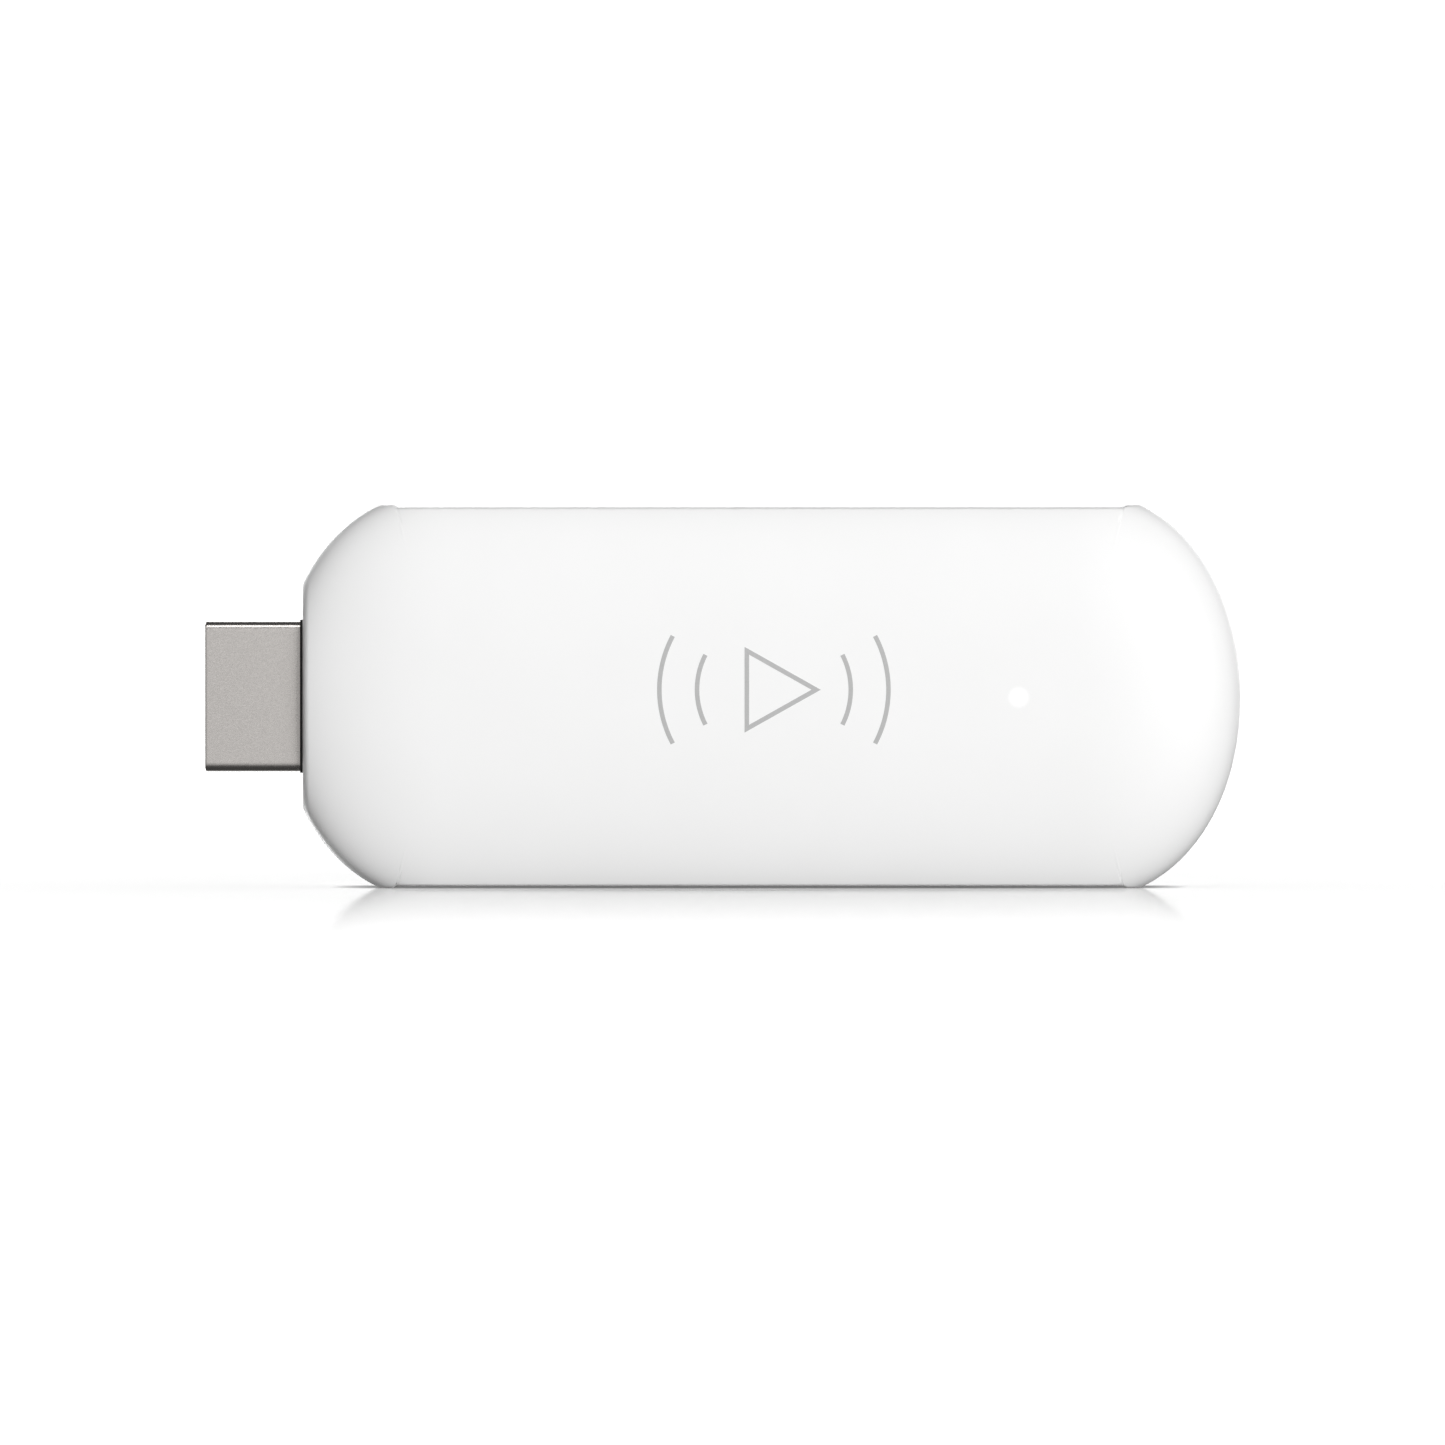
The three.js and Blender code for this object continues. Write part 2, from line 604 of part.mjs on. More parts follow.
// The tongue's back block closes the shell, and its blade carries the five contacts.
function portTongue() {
  const blockTop = PORT.bottom + 1;
  let made = extrude("z", portSection(PORT.sheet + 0.05), [PORT.bottom, blockTop]).translate([
    PORT.x,
    0,
    0,
  ]);
  const blade = [-0.55, PORT_CONTACT.y];
  made = made.add(box([PORT.x - 1.9, PORT.x + 1.9], blade, [blockTop - 0.3, PORT.top - 0.7]));
  const half = PORT_CONTACT.width / 2 + 0.05;
  const groove = [PORT_CONTACT.y - 0.14, PORT_CONTACT.y + 0.12];
  for (const x of portContactX) {
    made = made.subtract(box([x - half, x + half], groove, [PORT.bottom - 1, PORT.top - 1.2]));
  }
  return made;
}

function portContact(x) {
  const run = PORT_CONTACT.y - 0.02;
  const tail = BOARD.half + SOLDER + PORT_CONTACT.thick / 2;
  const line = [
    [run, PORT.top - 1.3],
    [run, PORT.bottom - 0.05],
    [tail, PORT.bottom - 0.45],
    [tail, PORT.bottom - 1.5],
  ];
  const half = PORT_CONTACT.width / 2;
  return extrude("x", ribbon(line, PORT_CONTACT.thick), [x - half, x + half]);
}

// ---- Button -------------------------------------------------------------------------------------

// The cap fills its hole flush with the edge, and its flange keeps it from falling out.
function buttonCap() {
  const { length, width, flange } = BUTTON;
  const inside = EDGE_Z - WALL - 0.1;
  const face = roundedRectangle(length, width, width / 2 - 0.01);
  const foot = roundedRectangle(length + 2 * flange, width + 2 * flange, width / 2);
  const stemBottom = SWITCH.top + SWITCH.plunger + 0.05;
  const made = extrude("z", face, [inside - 0.3, EDGE_Z - 0.05], { bevel: 0.1, segments: 5 })
    .add(extrude("z", foot, [inside - 0.6, inside]))
    .add(box([-1, 1], [-0.8, 0.8], [stemBottom, inside - 0.3]));
  return made.translate([BUTTON.x, 0, 0]);
}

// The switch stands in a notch of the board, and its plunger runs in a well in its top.
function switchBody() {
  const { width, depth, bottom, top, plungerX, plungerY, wellGap } = SWITCH;
  const well = [top - SWITCH.wellDepth, top + 1];
  const body = box([-width / 2, width / 2], [-depth / 2, depth / 2], [bottom, top]).subtract(
    box(
      [-plungerX - wellGap, plungerX + wellGap],
      [-plungerY - wellGap, plungerY + wellGap],
      well,
    ),
  );
  return addSolderLegs(body, width / 2, 0.2, bottom).translate([BUTTON.x, 0, 0]);
}

function switchPlunger() {
  const { top, plunger, plungerX, plungerY, wellDepth } = SWITCH;
  const bottom = top - wellDepth + BUTTON.travel + 0.1;
  const made = box([-plungerX, plungerX], [-plungerY, plungerY], [bottom, top + plunger]);
  return made.translate([BUTTON.x, 0, 0]);
}

// ---- Assembly -----------------------------------------------------------------------------------

const stick = new THREE.Group();

function addPart(name, made, material) {
  const mesh = new THREE.Mesh(geometryOf(made), material);
  mesh.name = name;
  stick.add(mesh);
}

addPart("front_cover", frontCover(), FINISH.whitePlastic);
addPart("rear_cover", rearCover(), FINISH.whitePlastic);
addPart("light_pipe", lightPipe(), FINISH.clearPlastic);

addPart("plug_shell", plugShell(), FINISH.nickel);
addPart("plug_block", plugBlock(), FINISH.blackPlastic);
addPart("plug_collar", plugCollar(), FINISH.blackPlastic);
contactPlaces.forEach((place, i) => {
  const number = String(i + 1).padStart(2, "0");
  addPart(`plug_contact_${number}`, plugContact(place), FINISH.gold);
});

addPart("main_board", mainBoard(), FINISH.boardMask);
const CHIP_FINISH = {
  wifi_module: FINISH.tinPlate,
  crystal: FINISH.tinPlate,
  inductor_1: FINISH.ferrite,
  inductor_2: FINISH.ferrite,
  input_capacitor: FINISH.ceramic,
  led_chip: FINISH.phosphor,
};
for (const [name, place] of Object.entries(CHIPS)) {
  addPart(name, component(place), CHIP_FINISH[name] ?? FINISH.chipResin);
}
addPart("shield_fence", shieldFence(), FINISH.tinPlate);
addPart("shield_lid", shieldLid(), FINISH.tinPlate);
addPart("chip_thermal_pad", chipThermalPad(), FINISH.thermalPad);
addPart("lid_thermal_pad", lidThermalPad(), FINISH.thermalPad);
addPart("heat_spreader", heatSpreader(), FINISH.aluminium);
[-1, 1].forEach((side, i) => addPart(`antenna_${i + 1}`, antenna(side), FINISH.tinPlate));
screwPlaces.forEach((place, i) => {
  addPart(`board_screw_${i + 1}`, boardScrew(place), FINISH.steel);
});

addPart("port_shell", portShell(), FINISH.nickel);
addPart("port_tongue", portTongue(), FINISH.blackPlastic);
portContactX.forEach((x, i) => addPart(`port_contact_${i + 1}`, portContact(x), FINISH.gold));

addPart("button_cap", buttonCap(), FINISH.whitePlastic);
addPart("switch_plunger", switchPlunger(), FINISH.blackPlastic);
addPart("switch_body", switchBody(), FINISH.tinPlate);

stick.position.set(-(FAR_X + PLUG_TIP_X) / 2, 0, LAND_Z);

const model = new THREE.Group();
model.add(stick);

export default model;
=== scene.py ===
"""A white media stick that stands on its long edge: the fine surfaces of its housing, plug, button
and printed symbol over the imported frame, its procedural materials, the light and the camera."""

import json
import math

import bmesh
import bpy
import numpy as np
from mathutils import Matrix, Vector


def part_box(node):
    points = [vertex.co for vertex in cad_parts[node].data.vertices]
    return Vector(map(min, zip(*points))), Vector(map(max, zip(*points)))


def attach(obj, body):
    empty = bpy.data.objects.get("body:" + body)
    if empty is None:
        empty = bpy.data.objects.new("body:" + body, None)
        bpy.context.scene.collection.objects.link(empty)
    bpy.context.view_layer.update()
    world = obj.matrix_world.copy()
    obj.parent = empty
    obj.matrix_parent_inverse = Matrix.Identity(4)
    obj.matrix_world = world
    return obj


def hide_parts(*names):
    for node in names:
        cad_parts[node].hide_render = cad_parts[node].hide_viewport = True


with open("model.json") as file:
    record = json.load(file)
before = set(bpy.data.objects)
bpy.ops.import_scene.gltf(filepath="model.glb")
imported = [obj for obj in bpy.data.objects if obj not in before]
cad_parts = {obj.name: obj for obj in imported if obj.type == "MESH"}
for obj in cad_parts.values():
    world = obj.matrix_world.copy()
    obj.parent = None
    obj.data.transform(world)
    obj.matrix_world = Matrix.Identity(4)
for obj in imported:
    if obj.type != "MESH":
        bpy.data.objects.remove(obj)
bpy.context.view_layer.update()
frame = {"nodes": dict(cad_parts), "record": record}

MM = 0.001

# ---- Sizes --------------------------------------------------------------------------------------
# The housing is worked out around its own centre, in the front view's x and z, and its rings are
# placed in the row frame when they are made.

COVER_LOW, COVER_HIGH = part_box("front_cover")
HALF_LENGTH = 44.5 * MM
CENTRE = Vector((COVER_HIGH.x - HALF_LENGTH, 0, (COVER_LOW.z + COVER_HIGH.z) / 2))
HALF_Y = -COVER_LOW.y
SQUARE_X = COVER_LOW.x - CENTRE.x
LAND_Z = COVER_HIGH.z - CENTRE.z

END_X = 15.06 * MM  # length of each rounded end
CORE_X = HALF_LENGTH - END_X
UNCUT_Z = 18.94 * MM
RIM_Y = 2.5 * MM
OUTLINE_POWER = 2.12
PROFILE_POWER = 2.5
RECESS = 0.2 * MM  # relief of the long edges between their lands
RECESS_X = 33.6 * MM  # the relieved stretch ends here
RAMP = 0.4 * MM  # length of the step up to each land
EDGE_Z = LAND_Z - RECESS
WALL = 1.5 * MM
LONG_FILLET = 0.22 * MM  # round between the cut long edges and the domed faces
END_FILLET = 0.6 * MM  # and between the plug's end and the domed faces
CORNER_WINDOW = 0.07 * MM  # rounding of the outline's corners

SEAM = 0.08 * MM  # half the gap between the covers
SEAM_ROUND = 0.1 * MM
LIP_INSET = 0.85 * MM
LIP_REACH = 0.9 * MM
LIP_GAP = 0.12 * MM

BOSS_FOOT, BOSS_TOP, BOSS_BORE = 2.1 * MM, 1.8 * MM, 0.81 * MM  # radii of the screw bosses
BOSS_CHAMFER = 0.1 * MM
BOSS_LEVEL = 0.54 * MM  # where they end, just behind the board

PLUG_LOW, PLUG_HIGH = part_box("plug_shell")
PLUG_TIP = PLUG_LOW.x - CENTRE.x
PLUG_BACK = -38.6 * MM  # the shell's inner end
PLUG_HALF_Y = PLUG_HIGH.y
PLUG_HALF_Z = (PLUG_HIGH.z - PLUG_LOW.z) / 2
PLUG_TURN_Y = 0.225 * MM  # the sides are straight from the front to here
PLUG_NARROW_Z = 5.2 * MM
PLUG_SHEET = 0.35 * MM
PLUG_TIP_ROUND = 0.16 * MM
PLUG_WINDOW = 0.75 * MM  # rounding of the shell's long edges

COLLAR_LOW, COLLAR_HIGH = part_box("plug_collar")
COLLAR_GAP = 0.08 * MM
COLLAR_LIP = 0.05 * MM  # what the collar shows around the plug outside the housing: a real black rim that also stands in for the painted shade line between plug and housing
COLLAR_ROUND = 0.7 * MM  # corners of the collar in the housing
COLLAR_LIP_ROUND = 0.5 * MM  # and of its lip and its hole

CAP_LOW, CAP_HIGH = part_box("button_cap")
CAP_X = (CAP_LOW.x + CAP_HIGH.x) / 2 - CENTRE.x
CAP_HALF_X = 3 * MM
CAP_HALF_Y = 1.2 * MM
CAP_FLANGE = 0.7 * MM
CAP_GAP = 0.2 * MM
CAP_ROUND = 0.2 * MM

PORT_X = (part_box("port_contact_3")[0].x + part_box("port_contact_3")[1].x) / 2 - CENTRE.x
PORT_HOLE_X = 4.05 * MM
PORT_HOLE_Y = 1.525 * MM
PORT_HOLE_ROUND = 0.7 * MM
CHAMFER = 0.12 * MM  # around every opening

LIGHT_LOW, LIGHT_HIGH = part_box("light_pipe")
LIGHT_X = (LIGHT_LOW.x + LIGHT_HIGH.x) / 2
LIGHT_Z = (LIGHT_LOW.z + LIGHT_HIGH.z) / 2

GLOW_CORE = 0.45 * MM  # the status light is even out to here, and has faded by its edge
GLOW_EDGE = 1.15 * MM
GLOW_STRENGTH = 0.16

SYMBOL_X = 1.3 * MM
SYMBOL_Z = 0.7 * MM
SYMBOL_STROKE = 0.42 * MM
SYMBOL_LIFT = 0.012 * MM


# ---- Mesh work ----------------------------------------------------------------------------------


def line(a, b):
    """A straight stretch of an outline, as a function of a share from 0 to 1."""
    a, b = np.array(a, float), np.array(b, float)
    return lambda t: a + (b - a) * t[:, None]


def smooth_half(sections, counts, window):
    """Points along joined stretches that start and end on the outline's line of symmetry, closer
    together towards each joint, with every corner rounded by averaging over a window of length."""
    dense = [section(np.linspace(0, 1, 1500)) for section in sections]
    lengths = [np.linalg.norm(np.diff(p, axis=0), axis=1).sum() for p in dense]
    joined = np.concatenate([dense[0]] + [p[1:] for p in dense[1:]])
    along = np.concatenate([[0], np.cumsum(np.linalg.norm(np.diff(joined, axis=0), axis=1))])
    flip = np.array([1, -1])
    before, after = joined[:0:-1] * flip, joined[-2::-1] * flip
    points = np.concatenate([before, joined, after])
    place = np.concatenate([-along[:0:-1], along, 2 * along[-1] - along[-2::-1]])
    middles = (points[1:] + points[:-1]) / 2 * np.diff(place)[:, None]
    total = np.concatenate([[[0, 0]], np.cumsum(middles, axis=0)])
    starts = np.concatenate([[0], np.cumsum(lengths)[:-1]])
    at = [
        start + length * (1 - np.cos(np.pi * np.arange(count) / count)) / 2
        for start, length, count in zip(starts, lengths, counts)
    ]
    at = np.concatenate([*at, [along[-1]]])
    sums = [
        np.interp(at + window, place, total[:, k]) - np.interp(at - window, place, total[:, k])
        for k in (0, 1)
    ]
    return np.stack(sums, -1) / (2 * window)


def whole_loop(half):
    """A half outline and its mirror image below, as one loop."""
    return np.concatenate([half, half[-2:0:-1] * np.array([1, -1])])


def rounded_rectangle(half_u, half_v, radius, steps=8):
    """A loop around the origin with quarter-circle corners."""
    radius = max(min(radius, half_u, half_v), 0.001 * MM)
    turns = np.arange(steps + 1) * np.pi / 2 / steps
    corners = [(1, 1, 0), (-1, 1, 1), (-1, -1, 2), (1, -1, 3)]
    return np.concatenate(
        [
            np.stack(
                [
                    su * (half_u - radius) + radius * np.cos(turns + quarter * np.pi / 2),
                    sv * (half_v - radius) + radius * np.sin(turns + quarter * np.pi / 2),
                ],
                -1,
            )
            for su, sv, quarter in corners
        ]
    )


def on_axis(loop, axis, offset):
    """A flat loop as points in the row frame. On x it lies in y and z, on z it lies in x and y."""
    level = np.full(len(loop), offset)
    columns = [level, loop[:, 0], loop[:, 1]] if axis == "x" else [loop[:, 0], loop[:, 1], level]
    return np.stack(columns, -1) + np.array(CENTRE)


def mesh_object(name, verts, faces):
    mesh = bpy.data.meshes.new(name)
    mesh.from_pydata(verts, [], faces)
    made = bpy.data.objects.new(name, mesh)
    bpy.context.scene.collection.objects.link(made)
    return made


def tidy_mesh(made):
    """Joins points that coincide, and turns every face outwards."""
    work = bmesh.new()
    work.from_mesh(made.data)
    bmesh.ops.remove_doubles(work, verts=work.verts, dist=0.0002 * MM)
    bmesh.ops.dissolve_degenerate(work, edges=work.edges, dist=0.0001 * MM)
    bmesh.ops.recalc_face_normals(work, faces=work.faces)
    work.to_mesh(made.data)
    work.free()
    return made


def skin(name, rings, ends="merge"):
    """A surface through rings of equally many points. Its ends are merged where the last ring folds
    onto itself, capped with a face, or joined to each other."""
    count = len(rings[0])
    verts = np.concatenate(rings)
    spans = len(rings) if ends == "join" else len(rings) - 1
    faces = []
    for r in range(spans):
        here, there = r * count, (r + 1) % len(rings) * count
        for i in range(count):
            j = (i + 1) % count
            faces.append((here + i, here + j, there + j, there + i))
    if ends == "cap":
        faces.append(tuple(range(count)))
        faces.append(tuple(range(len(verts) - 1, len(verts) - count - 1, -1)))
    return tidy_mesh(mesh_object(name, verts.tolist(), faces))


def combine(made, others, operation):
    """Cuts other objects from this one, or joins them to it, and removes them."""
    for other in others:
        step = made.modifiers.new("combine", "BOOLEAN")
        step.operation = operation
        step.solver = "MANIFOLD"
        step.object = other
    graph = bpy.context.evaluated_depsgraph_get()
    result = bpy.data.meshes.new_from_object(made.evaluated_get(graph))
    made.modifiers.clear()
    made.data = result
    for other in others:
        bpy.data.objects.remove(other)
    return tidy_mesh(made)


def finish_shading(made, degrees=32):
    """Smooth faces with hard edges where the surface turns by more than an angle."""
    work = bmesh.new()
    work.from_mesh(made.data)
    for face in work.faces:
        face.smooth = True
    for edge in work.edges:
        edge.smooth = len(edge.link_faces) == 2 and edge.calc_face_angle(0) < math.radians(degrees)
    work.to_mesh(made.data)
    work.free()
    weigh = made.modifiers.new("weighted normals", "WEIGHTED_NORMAL")
    weigh.keep_sharp = True
    return made


def stand_for(made, material, body, slot, *nodes):
    """Finishes a piece that replaces CAD nodes and rides on their body."""
    made.data.materials.clear()
    made.data.materials.append(material)
    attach(made, body)
    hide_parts(*nodes)
    return made


# ---- Housing ------------------------------------------------------------------------------------


def edge_height(x):
    """Half-height of the cut long edges: raised lands towards the ends, relieved between them."""
    return np.interp(np.abs(x), [RECESS_X, RECESS_X + RAMP], [EDGE_Z, LAND_Z])


def housing_outline(inset):
    """The cut housing in the front view, its edge moved in, from the far end over the top."""
    reach, height = END_X - inset, UNCUT_Z - inset
    land, edge, square = LAND_Z - inset, EDGE_Z - inset, -SQUARE_X - inset
    land_turn = math.asin((land / height) ** (OUTLINE_POWER / 2))
    square_turn = math.acos(((square - CORE_X) / reach) ** (OUTLINE_POWER / 2))

    def arc(side, first, last):
        def points(t):
            turn = first + (last - first) * t
            x = CORE_X + reach * np.cos(turn) ** (2 / OUTLINE_POWER)
            return np.stack([side * x, height * np.sin(turn) ** (2 / OUTLINE_POWER)], -1)

        return points

    corner = arc(1, 0, land_turn)(np.ones(1))[0, 0]
    square_z = arc(-1, land_turn, square_turn)(np.ones(1))[0, 1]
    sections = [
        arc(1, 0, land_turn),
        line((corner, land), (RECESS_X + RAMP, land)),
        line((RECESS_X + RAMP, land), (RECESS_X, edge)),
        line((RECESS_X, edge), (-RECESS_X, edge)),
        line((-RECESS_X, edge), (-RECESS_X - RAMP, land)),
        line((-RECESS_X - RAMP, land), (-corner, land)),
        arc(-1, land_turn, square_turn),
        line((-square, square_z), (-square, 0)),
    ]
    counts = [64, 12, 8, 72, 8, 12, 56, 28]
    return whole_loop(smooth_half(sections, counts, CORNER_WINDOW))


def fillet_drop(distance, radius):
    """How far a round of this radius falls below the surface, this far from a cut edge."""
    near = np.clip(radius - distance, 0, radius)
    return radius - np.sqrt(radius**2 - near**2)


def surface_height(points, inset=0, fillet=True):
    """Distance of the domed face from the middle plane, over points of the front view."""
    x, z = points[..., 0], points[..., 1]
    past = np.maximum(np.abs(x) - CORE_X, 0) / (END_X - inset)
    spread = past**OUTLINE_POWER + (np.abs(z) / (UNCUT_Z - inset)) ** OUTLINE_POWER
    rise = 1 - np.minimum(spread, 1) ** (PROFILE_POWER / OUTLINE_POWER)
    height = RIM_Y + (HALF_Y - inset - RIM_Y) * rise ** (1 / PROFILE_POWER)
    if fillet:
        height = height - fillet_drop(edge_height(x) - np.abs(z), LONG_FILLET)
        height = height - fillet_drop(x - SQUARE_X, END_FILLET)
    return height


def dome_rings(outline, count, inset=0, fillet=True):
    """Rings of (x, height, z) from an outline to the line in its middle, closer together where the
    surface turns."""
    foot = np.stack([np.clip(outline[:, 0], -CORE_X, CORE_X), np.zeros(len(outline))], -1)
    share = np.linspace(0, 1, 500) ** 2.5
    spokes = outline[:, None] * (1 - share)[:, None] + foot[:, None] * share[:, None]
    height = surface_height(spokes, inset, fillet)
    run = np.linalg.norm(spokes - outline[:, None], axis=-1)
    rise = np.diff(height, axis=1)
    step = np.hypot(np.diff(run, axis=1), rise)
    slope = np.arctan2(rise, np.diff(run, axis=1))
    slope = np.concatenate([np.full((len(slope), 1), math.pi / 2), slope], axis=1)
    turning = np.abs(np.diff(slope, axis=1))
    measure = step / step.sum(1, keepdims=True) + 1.5 * turning / turning.sum(1, keepdims=True)
    measure = np.concatenate([np.zeros((len(measure), 1)), np.cumsum(measure, axis=1)], axis=1)
    wanted = np.linspace(0, 1, count + 1)
    chosen = np.array([np.interp(wanted * m[-1], m, share) for m in measure])
    rings = []
    for k in range(count + 1):
        at = chosen[:, k : k + 1]
        points = outline * (1 - at) + foot * at
        rings.append((points, surface_height(points, inset, fillet)))
    return rings


def cover_rings(side, seam_steps):
    """All rings of one cover, from the middle of its face over the wall and the seam to the middle
    of its inner face. side is -1 for the front and 1 for the rear."""

    def ring(points, height):
        columns = [points[:, 0], side * height * np.ones(len(points)), points[:, 1]]
        return np.stack(columns, -1) + np.array(CENTRE)

    outline = housing_outline(0)
    rings = [ring(*r) for r in reversed(dome_rings(outline, 44))]
    top = surface_height(outline)
    foot = SEAM + SEAM_ROUND
    for share in (0.02, 0.35, 0.68, 1):
        rings.append(ring(outline, top + (foot - top) * share))
    for degrees in (30, 60, 90):
        turn = math.radians(degrees)
        inset = SEAM_ROUND * (1 - math.cos(turn))
        rings.append(ring(housing_outline(inset), foot - SEAM_ROUND * math.sin(turn)))
    for inset, height in seam_steps:
        rings.append(ring(housing_outline(inset), height))
    inner = housing_outline(WALL)
    rings.append(ring(inner, seam_steps[-1][1]))
    rings.extend(ring(*r) for r in dome_rings(inner, 14, WALL, fillet=False))
    return rings


def opening_cutters():
    """Tools that cut the plug's, the button's and the inlet's openings with a chamfered mouth."""

    def cutter(axis, surface, inwards, depth, place, sizes):
        stations = [(-1 * MM, CHAMFER), (0, CHAMFER), (CHAMFER, 0), (depth, 0)]
        rings = []
        for distance, grow in stations:
            half_u, half_v, radius = (size + grow for size in sizes)
            loop = rounded_rectangle(half_u, half_v, radius) + np.array(place)
            rings.append(on_axis(loop, axis, surface + inwards * distance))
        return skin("cutter", rings, ends="cap")

    collar_y = (COLLAR_HIGH.y - COLLAR_LOW.y) / 2 + COLLAR_GAP
    collar_z = (COLLAR_HIGH.z - COLLAR_LOW.z) / 2 + COLLAR_GAP
    depth = WALL + 1 * MM
    cap = (CAP_HALF_X + CAP_GAP, CAP_HALF_Y + CAP_GAP, CAP_HALF_Y + CAP_GAP)
    port = (PORT_HOLE_X, PORT_HOLE_Y, PORT_HOLE_ROUND)
    return [
        cutter("x", SQUARE_X, 1, depth, (0, 0), (collar_y, collar_z, 0.75 * MM)),
        cutter("z", EDGE_Z, -1, depth, (CAP_X, 0), cap),
        cutter("z", EDGE_Z, -1, depth, (PORT_X, 0), port),
    ]


def screw_bosses():
    """The tapered posts inside the rear cover that the board is screwed to."""
    posts = []
    for number in range(1, 5):
        low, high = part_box(f"board_screw_{number}")
        middle = (low + high) / 2
        at = (middle.x - CENTRE.x, middle.z - CENTRE.z)
        top = float(surface_height(np.array(at), WALL, fillet=False)) + 0.4 * MM
        stations = [
            (top, BOSS_FOOT),
            (BOSS_LEVEL + BOSS_CHAMFER, BOSS_TOP + BOSS_CHAMFER),
            (BOSS_LEVEL, BOSS_TOP),
            (BOSS_LEVEL, BOSS_BORE),
            (high.y, BOSS_BORE),
        ]
        rings = []
        for level, radius in stations:
            loop = rounded_rectangle(radius, radius, radius, steps=6)
            points = [loop[:, 0] + middle.x, np.full(len(loop), level), loop[:, 1] + middle.z]
            rings.append(np.stack(points, -1))
        posts.append(skin("post", rings, ends="cap"))
    return posts


def make_covers(material):
    front = skin("housing_front", cover_rings(-1, [(LIP_INSET, SEAM), (LIP_INSET, -LIP_REACH)]))
    rebate, floor = LIP_INSET - LIP_GAP, LIP_REACH + LIP_GAP
    rear = skin("housing_rear", cover_rings(1, [(rebate, SEAM), (rebate, floor)]))
    rear = combine(rear, screw_bosses(), "UNION")
    for made, node in ((front, "front_cover"), (rear, "rear_cover")):
        combine(made, opening_cutters(), "DIFFERENCE")
        finish_shading(made)
        stand_for(made, material, "stick", "white_plastic", node)


# ---- Plug ---------------------------------------------------------------------------------------


def plug_section(inset):
    """The plug's shell in y and z, moved in: a wide front, straight sides and a narrow back."""
    front, back = -PLUG_HALF_Y + inset, PLUG_HALF_Y - inset
    wide, narrow = PLUG_HALF_Z - inset, PLUG_NARROW_Z - inset * 0.5
    corners = [(front, 0), (front, wide), (PLUG_TURN_Y, wide), (back, narrow), (back, 0)]
    sections = [line(a, b) for a, b in zip(corners, corners[1:])]
    return whole_loop(smooth_half(sections, [36, 22, 20, 30], PLUG_WINDOW - inset))


def plug_shell_rings():
    """Outside from the housing to the tip, round its edge, and back along the inside."""
    turns = [math.radians(a) for a in (0, 22, 45, 68, 90)]
    lengths = [PLUG_BACK, SQUARE_X, PLUG_TIP + 2 * MM, PLUG_TIP + PLUG_TIP_ROUND + 0.04 * MM]
    rings = [on_axis(plug_section(0), "x", x) for x in lengths]
    for turn in turns:
        inset = PLUG_TIP_ROUND * (1 - math.cos(turn))
        offset = PLUG_TIP + PLUG_TIP_ROUND * (1 - math.sin(turn))
        rings.append(on_axis(plug_section(inset), "x", offset))
    inside_round = PLUG_SHEET - PLUG_TIP_ROUND
    for turn in reversed(turns):
        inset = PLUG_SHEET - inside_round * (1 - math.cos(turn))
        offset = PLUG_TIP + inside_round * (1 - math.sin(turn))
        rings.append(on_axis(plug_section(inset), "x", offset))
    rings.append(on_axis(plug_section(PLUG_SHEET), "x", PLUG_BACK))
    return rings


def flat_cutter(points, low, high):
    """A prism through a closed outline in x and z, between two values of y."""
    loop = np.array(points, float) + np.array((CENTRE.x, CENTRE.z))
    rings = [np.stack([loop[:, 0], np.full(len(loop), y), loop[:, 1]], -1) for y in (low, high)]
    return skin("cutter", rings, ends="cap")


def plug_back_cutters():
    """The folded sheet's seam, with its dovetail, and two dents on the plug's narrow side."""
    half, depth = 0.035 * MM, 0.12 * MM
    key_x, key_half, key_rise = PLUG_TIP + 4.2 * MM, 0.75 * MM, 0.85 * MM
    path = np.array(
        [
            (PLUG_TIP - 1 * MM, 0),
            (key_x - key_half * 0.7, 0),
            (key_x - key_half, key_rise),
            (key_x + key_half, key_rise),
            (key_x + key_half * 0.7, 0),
            (SQUARE_X + 1 * MM, 0),
        ]
    )
    along = np.gradient(path, axis=0)
    across = np.stack([-along[:, 1], along[:, 0]], -1)
    across /= np.linalg.norm(across, axis=1, keepdims=True)
    seam = np.concatenate([path + across * half, (path - across * half)[::-1]])
    low, high = PLUG_HALF_Y - depth, PLUG_HALF_Y + 1 * MM
    cutters = [flat_cutter(seam, low, high)]
    for z in (-3.1 * MM, 3.1 * MM):
        dent = rounded_rectangle(0.75 * MM, 0.95 * MM, 0.2 * MM, steps=4)
        dent = dent + np.array((PLUG_TIP + 5 * MM, z))
        cutters.append(flat_cutter(dent, low, high))
    return cutters


def plug_legs():
    """The shell's solder legs, which reach over the board's front."""
    board_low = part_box("main_board")[0]
    legs = []
    for side in (-1, 1):
        middle = side * (PLUG_HALF_Z - PLUG_SHEET / 2)
        half = PLUG_SHEET / 2 - 0.01 * MM
        x = (PLUG_BACK - 0.5 * MM, PLUG_HIGH.x - CENTRE.x)
        corners = [(x[0], middle - half), (x[1], middle - half)]
        corners += [(x[1], middle + half), (x[0], middle + half)]
        legs.append(flat_cutter(corners, -1.6 * MM, board_low.y - 0.04 * MM))
    return legs


